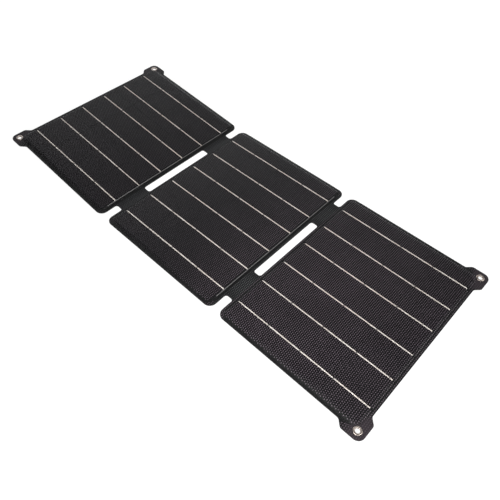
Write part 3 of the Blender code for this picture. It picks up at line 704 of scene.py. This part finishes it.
def cloth_face_material():
    made, tree, inputs, place = material("cloth_face", Roughness=0.6, Specular_IOR_Level=0.12)
    plain = mottled(tree, place, 60.0, (0.006, 0.0062, 0.0062), (0.009, 0.0093, 0.0093))
    on_panel = mix(tree, on_ear(tree), plain, (0.024, 0.0195, 0.0225, 1.0))
    on_left = split(tree, place)[0].math("LESS_THAN", 0.0)
    tab_tone = mix(tree, on_left, (0.007, 0.0071, 0.0076, 1.0), (0.0112, 0.0113, 0.0122, 1.0))
    feed(tree, inputs["Base Color"], mix(tree, on_tab(tree), on_panel, tab_tone))
    feed(tree, inputs["Normal"], effect(tree, GRAIN, Vector=place, Scale=2600.0, Depth=0.02 * MM)["Normal"])
    return made


def cloth_tint(tree, place):
    """The film's tint on the panels, and the cloth's own grey on the tabs, clearest along the middle of each tab."""
    y = split(tree, flat_place(tree))[1].math("ABSOLUTE")
    off_middle = (y - (TAB_INNER + TAB_OUTER) / 2).math("ABSOLUTE").smooth(7.0 * MM, 17.0 * MM)
    on_panel = mix(tree, on_ear(tree), purple_tint(tree, place), (0.058, 0.047, 0.054, 1.0))
    tab_tone = mix(tree, off_middle, (0.078, 0.080, 0.083, 1.0), (0.039, 0.040, 0.042, 1.0))
    return mix(tree, on_tab(tree), on_panel, tab_tone)


def cloth_back_material():
    made, tree, inputs, place = material("cloth_back", Roughness=0.8)
    weave = effect(tree, WEAVE, Vector=flat_place(tree), Pitch=0.62 * MM, Depth=0.1 * MM)
    tint = mottled(tree, place, 45.0, (0.018, 0.018, 0.019), (0.026, 0.026, 0.027))
    feed(tree, inputs["Base Color"], mix(tree, weave["Height"], (0.008, 0.008, 0.009, 1.0), tint))
    feed(tree, inputs["Normal"], weave["Normal"])
    return made


def mottled_material(name, scale, dark, light, **constants):
    """A material whose only pattern is a drift between two tones."""
    made, tree, inputs, place = material(name, **constants)
    feed(tree, inputs["Base Color"], mottled(tree, place, scale, dark, light))
    return made


cloth_edge = mottled_material("cloth_edge", 900.0, (0.05, 0.05, 0.05), (0.12, 0.115, 0.11), Roughness=0.8)
CLOTH = [cloth_face_material(), cloth_back_material(), cloth_edge]
CLOTH_DOT = dot_material("cloth_dot", cloth_tint)
print("cloth materials:", ", ".join(surface.name for surface in CLOTH))

# %% Cloth
EAR_REACH, EAR_SPAN, EAR_CORNER, EAR_FILLET = 5.6 * MM, 20.0 * MM, 7.0 * MM, 4.0 * MM
EYELET_HOLE = 2.75 * MM

near_half = [
    (0, -SIDE, 0), (EDGE, -SIDE, PANEL_CORNER), (EDGE, -TAB_OUTER, TAB_FILLET), (FAR_EDGE, -TAB_OUTER, TAB_FILLET),
    (FAR_EDGE, -SIDE, PANEL_CORNER), (END - EAR_SPAN, -SIDE, EAR_FILLET),
    (END - EAR_SPAN + EAR_REACH, -SIDE - EAR_REACH, EAR_FILLET), (END + EAR_REACH, -SIDE - EAR_REACH, EAR_CORNER),
    (END + EAR_REACH, -SIDE + EAR_SPAN - EAR_REACH, EAR_FILLET), (END, -SIDE + EAR_SPAN, EAR_FILLET)]
cloth_outline = rounded(near_half + [(x, -y, radius) for x, y, radius in reversed(near_half)])
slot_corners = (EDGE, -TAB_INNER), (EDGE, TAB_INNER), (FAR_EDGE, TAB_INNER), (FAR_EDGE, -TAB_INNER)
holes = [rounded([(x, y, TAB_FILLET) for x, y in slot_corners])]
holes += [circle(PITCH + EYELET_X, y, EYELET_HOLE)[::-1] for y in (-EYELET_Y, EYELET_Y)]
cloth_loops = [spaced(outline, 1.0 * MM) for outline in (cloth_outline, *holes)]


def clear_of(points, margin, covered=()):
    """The points well inside the cloth, and outside any outline that covers it."""
    keep = depth_inside(points, cloth_outline) > margin
    for hole in (*holes, *covered):
        keep &= depth_inside(points, hole) < -margin
    return points[keep]


# Dots show wherever the films don't cover the cloth.
films_over = [[point + Vector((shift, 0)) for point in film_outline] for shift in (0, PITCH)]
face_points = clear_of(dot_points(0, END + EAR_REACH, SIDE + EAR_REACH, PITCH), 0.35 * MM, films_over)
bend_lines = [EDGE + FOLD_GAP * k / 12 for k in range(13)]
bend_points = np.array([(x, y) for x in bend_lines for y in np.arange(-TAB_OUTER, TAB_OUTER, 3.0 * MM)])
cloth_sheet = sheet_mesh("cloth", cloth_loops, face_points, clear_of(bend_points, 0.35 * MM))
for surface in CLOTH:
    cloth_sheet.materials.append(surface)
cloth_form = {
    "Dot Height": 0.12 * MM, "First Column": PITCH, "Top": CLOTH_TOP - 0.05 * MM, "Rim": CLOTH_TOP,
    "Thickness": CLOTH_TOP - cloth_low.z - 0.05 * MM, "Material": CLOTH[0], "Dot Material": CLOTH_DOT}
# The same ends of the cloth stayed smooth too.
SMOOTH_STRIPS = {"left": (FAR_EDGE, PITCH - FILM_X), "right": (FILM_X, FILM_X + 1.0 * MM)}


def cloth_side(side):
    start, end = SMOOTH_STRIPS[side]
    mesh = grown(cloth_sheet, RELIEF, {**cloth_form, "Smooth From": start, "Smooth To": end}, "cloth")
    mesh.set_sharp_from_angle(angle=math.radians(50))
    return leaned(mirrored(mesh)) if side == "left" else mesh


def mirrored(mesh):
    """A copy on the other side of the middle panel's centre line."""
    copy = mesh.copy()
    copy.transform(Matrix.Scale(-1, 4, (1, 0, 0)))
    copy.flip_normals()
    return copy


def leaned(mesh):
    """Bends a flat mesh of the left side at the left fold, as far as the left panel leans at rest."""
    places = np.empty(len(mesh.vertices) * 3)
    mesh.vertices.foreach_get("co", places)
    places = places.reshape(-1, 3)
    share = np.clip((-EDGE - places[:, 0]) / FOLD_GAP, 0, 1)
    angle = LEAN * share * share * (3 - 2 * share)
    x, z = places[:, 0] - LEFT_AXIS.x, places[:, 2] - LEFT_AXIS.z
    places[:, 0] = LEFT_AXIS.x + x * np.cos(angle) + z * np.sin(angle)
    places[:, 2] = LEFT_AXIS.z - x * np.sin(angle) + z * np.cos(angle)
    mesh.vertices.foreach_set("co", places.ravel())
    mesh.update()
    return mesh


def bends(made, side):
    """Bakes a piece's place into its vertices, the same way on either side."""
    if side == "left":
        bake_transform(made)
    else:
        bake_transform(made)


for side in ("left", "right"):
    cloth = piece(f"{side}_cloth", cloth_side(side), [f"{side}_back_cloth", "middle_back_cloth"])
    bends(cloth, side)

# %% [markdown]
# ## Leads in the tabs
# Flat copper leads carry the current across each fold, inside the cloth. Each is one strip across its tab, and the left
# ones are bent as far as the left panel leans at rest.

# %% Leads in the tabs
COPPER = mottled_material("copper_lead", 300.0, (0.50, 0.26, 0.15), (0.72, 0.43, 0.28), Metallic=1.0, Roughness=0.35)
LEAD_THICKNESS = 0.15 * MM


def fold_leads():
    """Two flat strips across the right fold, each from one row's end bar to the next, with points enough to bend."""
    build = bmesh.new()
    for place in ("near", "far"):
        low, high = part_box(f"middle_lead_at_right_fold_{place}")
        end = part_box(f"right_lead_at_right_fold_{place}")[1].x
        run = end - low.x - 2 * LEAD_THICKNESS
        across = [low.x + LEAD_THICKNESS + run * k / 40 for k in range(41)]
        profile = [(low.x, low.z), *((x, low.z) for x in across), (end, low.z), (end, high.z), (across[-1], high.z)]
        profile += [*((x, low.z + LEAD_THICKNESS) for x in reversed(across)), (across[0], high.z), (low.x, high.z)]
        sides = [[build.verts.new((x, y, z)) for x, z in profile] for y in (low.y, high.y)]
        count = len(profile)
        for k in range(count):
            build.faces.new([sides[a][b % count] for a, b in ((0, k), (0, k + 1), (1, k + 1), (1, k))])
        for side in sides:
            build.faces.new(side)
    bmesh.ops.recalc_face_normals(build, faces=build.faces)
    mesh = bpy.data.meshes.new("leads")
    build.to_mesh(mesh)
    build.free()
    mesh.materials.append(COPPER)
    return mesh


lead_mesh = fold_leads()
for side, mesh in (("left", leaned(mirrored(lead_mesh))), ("right", lead_mesh)):
    nodes = [f"{panel}_lead_at_{side}_fold_{place}" for panel in (side, "middle") for place in ("near", "far")]
    bends(piece(f"{side}_fold_leads", mesh, nodes), side)
print("leads across two folds ready")

# %% [markdown]
# ## Cells
# A row holds four cells, cut from one round wafer's worth of dark silicon and laid end to end with narrow gaps.
# One tree lays them out by count and pitch, and gives each its own tone, because no two wafers come out alike.

# %% Cells
ROWS = {"near": -1, "centre": 0, "far": 1}
cell_low, cell_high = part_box("middle_cell_string_centre")
CELL_GAP = 1.2 * MM
CELL_PITCH = (cell_high.x - cell_low.x + CELL_GAP) / 4


def stored(tree, geometry, name, value, domain):
    """Geometry with a number stored on it for its material to read."""
    inputs = {"Geometry": geometry, "Name": name, "Value": value}
    return out(tree, "GeometryNodeStoreNamedAttribute", inputs, data_type="FLOAT", domain=domain)


def silicon_material():
    made, tree, inputs, place = material("dark_silicon", Roughness=0.3, Specular_IOR_Level=0.1)
    finger = (split(tree, place)[0] / (1.6 * MM)).math("FRACT").math("LESS_THAN", 0.05)
    face = mix(tree, attribute(tree, "tone"), (0.0042, 0.0037, 0.0044, 1.0), (0.0068, 0.0056, 0.0068, 1.0))
    feed(tree, inputs["Base Color"], mix(tree, finger * 0.4, face, (0.05, 0.047, 0.047, 1.0)))
    return made


def cell_tree():
    numbers = {"Pitch": CELL_PITCH, "Gap": CELL_GAP, "Width": 0.06, "Thickness": 0.2 * MM}
    tree, value, result = geometry_tree("cells", numbers, "Material", counts={"Count": 4, "Seed": 1})
    size = vector(tree, value["Pitch"] - value["Gap"], value["Width"], value["Thickness"])
    cell = out(tree, "GeometryNodeMeshCube", {"Size": size})
    places = {"Count": value["Count"], "Start Location": vector(tree, (value["Count"] - 1.0) * value["Pitch"] * -0.5),
              "Offset": vector(tree, value["Pitch"])}
    line = out(tree, "GeometryNodeMeshLine", places)
    laid = out(tree, "GeometryNodeInstanceOnPoints", {"Points": line, "Instance": cell})
    tone = add(tree, "FunctionNodeRandomValue", {"Seed": value["Seed"]}, data_type="FLOAT").outputs[1]
    toned = stored(tree, laid, "tone", tone, "INSTANCE")
    real = out(tree, "GeometryNodeRealizeInstances", {0: toned})
    feed(tree, result, out(tree, "GeometryNodeSetMaterial", {"Geometry": real, "Material": value["Material"]}))
    return tree


CELLS, SILICON = cell_tree(), silicon_material()
for number, (side, matrix) in enumerate(PANELS.items()):
    for row, step in ROWS.items():
        mesh = grown(bpy.data.meshes.new("start"), CELLS, {
            "Pitch": CELL_PITCH, "Gap": CELL_GAP, "Width": cell_high.y - cell_low.y,
            "Thickness": cell_high.z - cell_low.z, "Seed": 3 * number + step + 1, "Material": SILICON}, "cells")
        mesh.transform(matrix @ Matrix.Translation((0, step * ROW_PITCH, (cell_low.z + cell_high.z) / 2)))
        piece(f"{side}_cells_{row}", mesh, [f"{side}_cell_string_{row}"], f"{side}_panel")
print(f"nine rows of four cells, {CELL_PITCH / MM:.1f} mm apart")

# %% [markdown]
# ## Ribbons
# Two tinned copper ribbons run the length of each row and join its cells. They are soft strip, pressed flat where they are
# soldered and sinking a little into each gap, and at one end they turn down to a bar under the cells.
# A strip is a profile swept along a line, so the tree sweeps one, sinks it at the gaps, and sets two of them side by side.

# %% Ribbons
ribbon_low, ribbon_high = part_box("middle_ribbon_pair_centre")
RIBBON_WIDTH, RIBBON_THICKNESS = 1.2 * MM, 0.12 * MM


def ribbon_material():
    made, tree, inputs, place = material("tinned_ribbon", Roughness=0.45)
    tin = mottled(tree, place, 160.0, (0.86, 0.77, 0.69), (0.97, 0.90, 0.83))
    # Darker where the ribbon sinks into a gap between cells: painted shade there, with flux residue, and at the nick a
    # dark mark of its own.
    feed(tree, inputs["Base Color"], mix(tree, attribute(tree, "dip"), tin, (0.12, 0.11, 0.10, 1.0)))
    return made


def ribbon_tree():
    numbers = {
        "Length": 0.15, "Width": RIBBON_WIDTH, "Thickness": RIBBON_THICKNESS, "Spacing": RIBBON_SPACING,
        "Cell Pitch": CELL_PITCH, "Dip": 0.15 * MM, "Dip Length": 0.9 * MM, "Drop": 0.42 * MM, "Bar Width": 3.0 * MM,
        "Bar Setback": 1.3 * MM, "Bar Side": 1.0, "Taper": 3.0 * MM, "Nick": FAR_AWAY, "Nick Length": 0.5 * MM}
    tree, value, result = geometry_tree("ribbons", numbers, "Material")

    def bell(offset, length):
        return ((offset / length).math("POWER", 2.0) * -1.0).math("EXPONENT")

    end = value["Length"] * 0.5
    line = out(tree, "GeometryNodeCurvePrimitiveLine", {"Start": vector(tree, end * -1.0), "End": vector(tree, end)})
    fine = out(tree, "GeometryNodeResampleCurve", {"Curve": line, "Count": 480})
    upright = out(tree, "GeometryNodeSetCurveNormal", {"Curve": fine}, mode="Z_UP")
    section = {"Width": value["Width"], "Height": value["Thickness"]}
    profile = out(tree, "GeometryNodeCurvePrimitiveQuadrilateral", section)
    swept = out(tree, "GeometryNodeCurveToMesh", {"Curve": upright, "Profile Curve": profile, "Fill Caps": True})
    x, y, _ = split(tree, out(tree, "GeometryNodeInputPosition"))
    gap = (x / value["Cell Pitch"]).math("ROUND").math("MAXIMUM", -1.0).math("MINIMUM", 1.0)
    dip = bell(x - gap * value["Cell Pitch"], value["Dip Length"])
    turned = (x * value["Bar Side"]).smooth(end - 0.7 * MM, end, 0.0, value["Drop"])
    narrowed = y * x.smooth(end * -1.0, value["Taper"] - end, -0.6, 0.0)
    sunk = vector(tree, 0.0, narrowed, (dip * value["Dip"] + turned) * -1.0)
    pressed = out(tree, "GeometryNodeSetPosition", {"Geometry": swept, "Offset": sunk})
    nick = bell(x - value["Nick"], value["Nick Length"])
    # The stored dip darkens the ribbon's colour: painted shade at each gap, with flux residue, and a dark mark at the
    # nick.
    marked = stored(tree, pressed, "dip", dip.math("MAXIMUM", nick), "POINT")
    places = {"Count": 2, "Start Location": vector(tree, 0.0, value["Spacing"] * -0.5),
              "Offset": vector(tree, 0.0, value["Spacing"])}
    pair = out(tree, "GeometryNodeMeshLine", places)
    both = out(tree, "GeometryNodeInstanceOnPoints", {"Points": pair, "Instance": marked})
    bar_size = vector(tree, value["Bar Width"], value["Spacing"] + value["Width"], value["Thickness"])
    bar = out(tree, "GeometryNodeMeshCube", {"Size": bar_size})
    bar_x = (end - value["Bar Width"] * 0.5 - value["Bar Setback"]) * value["Bar Side"]
    bar_place = vector(tree, bar_x, 0.0, value["Drop"] * -1.0)
    laid = out(tree, "GeometryNodeTransform", {"Geometry": bar, "Translation": bar_place})
    joined = add(tree, "GeometryNodeJoinGeometry")
    for part in (both, laid):
        tree.links.new(part, joined.inputs[0])
    real = out(tree, "GeometryNodeRealizeInstances", {0: joined.outputs[0]})
    feed(tree, result, out(tree, "GeometryNodeSetMaterial", {"Geometry": real, "Material": value["Material"]}))
    return tree


RIBBONS, TIN = ribbon_tree(), ribbon_material()
for side, matrix in PANELS.items():
    for row, step in ROWS.items():
        mesh = grown(bpy.data.meshes.new("start"), RIBBONS, {
            "Length": ribbon_high.x - ribbon_low.x, "Bar Side": -1.0 if row == "centre" else 1.0,
            "Nick": ribbon_high.x - 3.3 * MM if (side, row) == ("right", "near") else FAR_AWAY, "Material": TIN}, "ribbons")
        mesh.transform(matrix @ Matrix.Translation((0, step * ROW_PITCH, ribbon_high.z - RIBBON_THICKNESS / 2)))
        piece(f"{side}_ribbons_{row}", mesh, [f"{side}_ribbon_pair_{row}"], f"{side}_panel")
print(f"nine pairs of ribbons of {len(mesh.polygons)} faces")

# %% [markdown]
# ## Eyelets
# An eyelet is pressed from thin nickel-plated strip: a rolled flange on the front, a barrel through the cloth, and a washer
# behind that the barrel's end is curled over. Both are turned shapes, so each is a profile spun round the hole's axis.

# %% Eyelets
def spun(name, profile, steps=72):
    """A closed ring or knob from a profile of (radius, height) points, spun round the z axis."""
    build = bmesh.new()
    points = [build.verts.new((radius, 0, height)) for radius, height in profile]
    edges = [build.edges.new((a, b)) for a, b in zip(points, points[1:] + points[:1])]
    bmesh.ops.spin(build, geom=points + edges, cent=(0, 0, 0), axis=(0, 0, 1), angle=math.tau, steps=steps, use_merge=True)
    bmesh.ops.remove_doubles(build, verts=build.verts, dist=1e-7)
    bmesh.ops.dissolve_degenerate(build, edges=build.edges, dist=1e-8)
    bmesh.ops.delete(build, geom=[edge for edge in build.edges if not edge.link_faces], context="EDGES")
    bmesh.ops.recalc_face_normals(build, faces=build.faces)
    mesh = bpy.data.meshes.new(name)
    build.to_mesh(mesh)
    build.free()
    mesh.polygons.foreach_set("use_smooth", [True] * len(mesh.polygons))
    mesh.set_sharp_from_angle(angle=math.radians(40))
    return mesh


def arc(x, z, radius_x, radius_z, start, end, steps):
    """Points along part of an ellipse in a profile, from one angle to another in degrees."""
    angles = [math.radians(start + (end - start) * k / steps) for k in range(steps + 1)]
    return [(x + radius_x * math.cos(a), z + radius_z * math.sin(a)) for a in angles]


def plated_material(name, dark, light, roughness):
    made, tree, inputs, place = material(name, Metallic=1.0)
    grain = effect(tree, GRAIN, Vector=place, Scale=1500.0, Depth=0.01 * MM)
    feed(tree, inputs["Base Color"], mottled(tree, place, 400.0, dark, light))
    feed(tree, inputs["Roughness"], Field(tree, grain["Value"]) * 0.12 + roughness)
    feed(tree, inputs["Normal"], grain["Normal"])
    return made


NICKEL = plated_material("nickel_plate", (0.36, 0.31, 0.28), (0.47, 0.41, 0.37), 0.35)
ZINC = plated_material("zinc_steel", (0.30, 0.30, 0.31), (0.40, 0.40, 0.41), 0.4)

EYELET_BORE, BARREL_WALL = 2.1 * MM, 0.55 * MM
BARREL_BEVEL, WASHER_BEVEL = 0.1 * MM, 0.06 * MM
barrel_radius, seat_height = EYELET_BORE + BARREL_WALL, CLOTH_TOP + 0.05 * MM
roll = (EYELET_RADIUS - EYELET_BORE) / 2
flange = arc(EYELET_BORE + roll, seat_height, roll, eyelet_high.z - seat_height, 0, 180, 20)
barrel = [(EYELET_BORE, eyelet_low.z + BARREL_BEVEL), (EYELET_BORE + BARREL_BEVEL, eyelet_low.z),
          (barrel_radius, eyelet_low.z), (barrel_radius, seat_height)]
eyelet_mesh = spun("eyelet", flange + barrel)
washer_low, washer_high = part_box("right_eyelet_washer_near")
washer_radius = (washer_high.x - washer_low.x) / 2
washer_bore = barrel_radius + 0.05 * MM
washer_mesh = spun("washer", [
    (washer_bore, washer_low.z), (washer_radius - WASHER_BEVEL, washer_low.z),
    (washer_radius, washer_low.z + WASHER_BEVEL), (washer_radius, washer_high.z - WASHER_BEVEL),
    (washer_radius - WASHER_BEVEL, washer_high.z), (washer_bore, washer_high.z)])
for side, sign in (("left", -1), ("right", 1)):
    for place, y in (("near", -EYELET_Y), ("far", EYELET_Y)):
        for kind, start in (("eyelet", eyelet_mesh), ("eyelet_washer", washer_mesh)):
            mesh = start.copy()
            mesh.materials.append(NICKEL)
            mesh.transform(PANELS[side] @ Matrix.Translation((sign * EYELET_X, y, 0)))
            name = f"{side}_{kind}_{place}"
            piece(name.replace("eyelet", "rivet"), mesh, [name], f"{side}_panel")
print("four eyelets and four washers ready")

# %% [markdown]
# ## Plain materials
# What stays as the CAD made it still gets a material of its own: the boards inside, and the small parts of the box.

# %% Plain materials
def plastic_material():
    made, tree, inputs, place = material("black_plastic")
    grain = effect(tree, GRAIN, Vector=place, Scale=1400.0, Depth=0.05 * MM)
    feed(tree, inputs["Base Color"], mottled(tree, place, 70.0, (0.018, 0.018, 0.019), (0.026, 0.026, 0.028)))
    feed(tree, inputs["Roughness"], Field(tree, grain["Value"]) * 0.2 + 0.42)
    feed(tree, inputs["Normal"], grain["Normal"])
    return made


def board_material(name, dark, light):
    made, tree, inputs, place = material(name, Roughness=0.5, Specular_IOR_Level=0.1)
    feed(tree, inputs["Base Color"], mottled(tree, place, 40.0, dark, light))
    feed(tree, inputs["Normal"], effect(tree, WEAVE, Vector=place, Pitch=0.5 * MM, Depth=0.01 * MM)["Normal"])
    return made


PLASTIC = plastic_material()
BOARD = board_material("glass_fibre_board", (0.006, 0.006, 0.007), (0.010, 0.010, 0.011))
CIRCUIT = board_material("circuit_board", (0.03, 0.14, 0.06), (0.05, 0.20, 0.09))
PLAIN = {
    "stiffener_board": BOARD, "junction_box": PLASTIC, "terminal_board": CIRCUIT, "bypass_diode": PLASTIC,
    "output_lead": COPPER, "output_socket_nut": NICKEL, "output_socket_pin": NICKEL, "output_socket": PLASTIC, "lid_screw": ZINC}
dressed = 0
for name, node in frame["nodes"].items():
    for key, surface in PLAIN.items():
        if key in name:
            node.data.materials.clear()
            node.data.materials.append(surface)
            dressed += 1
            break
print(f"{dressed} CAD nodes have a material")

# %% [markdown]
# ## Junction box
# The box on the back of the left panel is a moulded shell. Moulded edges are never sharp, so the shell keeps the CAD's form
# and only has its edges rounded. The screws are turned, with a cross pressed into the head: one tree makes a screw
# and sets one at each corner. The output socket in the wall is a turned piece too, with a round-tipped pin in it.

# %% Junction box
def local_box(name):
    """The box of a CAD node in the left panel's own coordinates."""
    node = frame["nodes"][name]
    back = PANELS["left"].inverted() @ node.matrix_world
    places = np.array([back @ vertex.co for vertex in node.data.vertices])
    return Vector(places.min(0)), Vector(places.max(0))


def rounded_shell(name, radius):
    """The CAD's shell with its outer edges rounded."""
    build = bmesh.new()
    build.from_mesh(frame["nodes"][name].data)
    build.transform(frame["nodes"][name].matrix_world)
    bmesh.ops.remove_doubles(build, verts=build.verts, dist=1e-6)
    bmesh.ops.dissolve_limit(build, angle_limit=math.radians(1), verts=build.verts, edges=build.edges)
    back = PANELS["left"].inverted()

    def on_rim(vertex):
        place = back @ vertex.co
        inside = all(lid_low[k] + radius < place[k] < lid_high[k] - radius for k in (0, 1))
        return abs(place.z - lid_low.z) < 1e-5 and not inside

    rim = [edge for edge in build.edges if all(on_rim(vertex) for vertex in edge.verts) and edge.calc_face_angle(0.0) > 0.5]
    bmesh.ops.bevel(build, geom=rim, offset=radius, segments=6, affect="EDGES", profile=0.5, clamp_overlap=True)
    bmesh.ops.triangulate(build, faces=[face for face in build.faces if len(face.verts) > 4])
    # Flat faces keep their own normals, so that the rounded rim doesn't shade into them.
    turned = back.to_3x3()
    flat = [max(abs(part) for part in turned @ face.normal) > 0.9995 for face in build.faces]
    mesh = bpy.data.meshes.new("shell")
    build.to_mesh(mesh)
    build.free()
    mesh.set_sharp_from_angle(angle=math.radians(38))
    mesh.polygons.foreach_set("use_smooth", [not plane for plane in flat])
    return mesh


def screw_tree():
    numbers = {
        "Head Radius": 2.0 * MM, "Head Height": 0.88 * MM, "Shank Radius": 0.95 * MM, "Shank Length": 7.0 * MM,
        "Cross Width": 0.5 * MM, "Cross Length": 2.5 * MM, "Cross Depth": 0.5 * MM}
    tree, value, result = geometry_tree("screws", numbers, "Material")

    def rod(sides, kind, bottom):
        inputs = {"Vertices": sides, "Radius": value[f"{kind} Radius"], "Depth": value[f"{kind} {'Height' if kind == 'Head' else 'Length'}"]}
        place = vector(tree, 0.0, 0.0, inputs["Depth"] * 0.5 + bottom)
        return out(tree, "GeometryNodeTransform", {"Geometry": out(tree, "GeometryNodeMeshCylinder", inputs), "Translation": place})

    def combined(operation, first, *others):
        node = add(tree, "GeometryNodeMeshBoolean", operation=operation, solver="EXACT")
        if operation == "DIFFERENCE":
            tree.links.new(first, node.inputs["Mesh 1"])
        else:
            others = (first, *others)
        for other in others:
            tree.links.new(other, node.inputs["Mesh 2"])
        return node.outputs[0]

    arms = []
    for x, y in (("Width", "Length"), ("Length", "Width")):
        size = vector(tree, value[f"Cross {x}"], value[f"Cross {y}"], value["Cross Depth"] * 2.0)
        arms.append(out(tree, "GeometryNodeMeshCube", {"Size": size}))
    solid = combined("UNION", rod(48, "Head", 0.0), rod(24, "Shank", value["Head Height"] - 0.1 * MM))
    screw = combined("DIFFERENCE", solid, combined("UNION", *arms))
    laid = out(tree, "GeometryNodeInstanceOnPoints", {"Points": value["Geometry"], "Instance": screw})
    real = out(tree, "GeometryNodeRealizeInstances", {0: laid})
    painted = out(tree, "GeometryNodeSetMaterial", {"Geometry": real, "Material": value["Material"]})
    feed(tree, result, out(tree, "GeometryNodeSetShadeSmooth", {"Geometry": painted}))
    return tree


def box_piece(name, mesh, surface, nodes, matrix):
    """A piece of the box, moved to its place."""
    mesh.materials.clear()
    mesh.materials.append(surface)
    mesh.transform(matrix)
    piece(name, mesh, nodes, "left_panel")


lid_low, lid_high = local_box("junction_box_lid")
lid = rounded_shell("junction_box_lid", 1.6 * MM)
box_piece("box_lid", lid, PLASTIC, ["junction_box_lid"], Matrix.Identity(4))

screw_boxes = {name: local_box(name) for name in frame["nodes"] if name.startswith("lid_screw")}
corners = bpy.data.meshes.new("corners")
corner_places = [((low.x + high.x) / 2, (low.y + high.y) / 2, low.z) for low, high in screw_boxes.values()]
corners.from_pydata(corner_places, [], [])
screw_low, screw_high = next(iter(screw_boxes.values()))
shank = screw_high.z - screw_low.z - 0.78 * MM
screws = grown(corners, screw_tree(), {"Shank Length": shank, "Material": ZINC}, "screws")
screws.set_sharp_from_angle(angle=math.radians(38))
box_piece("box_screws", screws, ZINC, list(screw_boxes), PANELS["left"])

socket_low, socket_high = local_box("output_socket")
pin_low, pin_high = local_box("output_socket_pin")
socket_middle = (socket_low + socket_high) / 2
socket_place = PANELS["left"] @ Matrix.Translation((socket_middle.x, 0, socket_middle.z)) @ Matrix.Rotation(-math.pi / 2, 4, "X")
front, back_end, floor_end, seat = socket_high.y, socket_low.y, socket_low.y + 2.0 * MM, socket_high.y - 1.4 * MM
FLANGE_RADIUS = (socket_high.x - socket_low.x) / 2
SOCKET_RADIUS, SOCKET_BORE, PIN_HOLE, SOCKET_EDGE = 3.5 * MM, 2.75 * MM, 1.1 * MM, 0.4 * MM
body = spun("socket", [
    (SOCKET_BORE + SOCKET_EDGE, front), *arc(FLANGE_RADIUS - SOCKET_EDGE, front - SOCKET_EDGE, SOCKET_EDGE, SOCKET_EDGE, 90, 0, 6),
    (FLANGE_RADIUS, seat), (SOCKET_RADIUS, seat), (SOCKET_RADIUS, back_end), (PIN_HOLE, back_end), (PIN_HOLE, floor_end),
    (SOCKET_BORE, floor_end), (SOCKET_BORE, front - SOCKET_EDGE)])
box_piece("box_socket", body, PLASTIC, ["output_socket"], socket_place)
PIN_RADIUS = (pin_high.x - pin_low.x) / 2
pin_tip = arc(0, pin_high.y - PIN_RADIUS, PIN_RADIUS, PIN_RADIUS, 0, 90, 8)
pin = spun("pin", [(0, pin_low.y), (PIN_RADIUS, pin_low.y), *pin_tip], 32)
box_piece("box_pin", pin, NICKEL, ["output_socket_pin"], socket_place)
print(f"box with {len(screw_boxes)} screws and a socket")
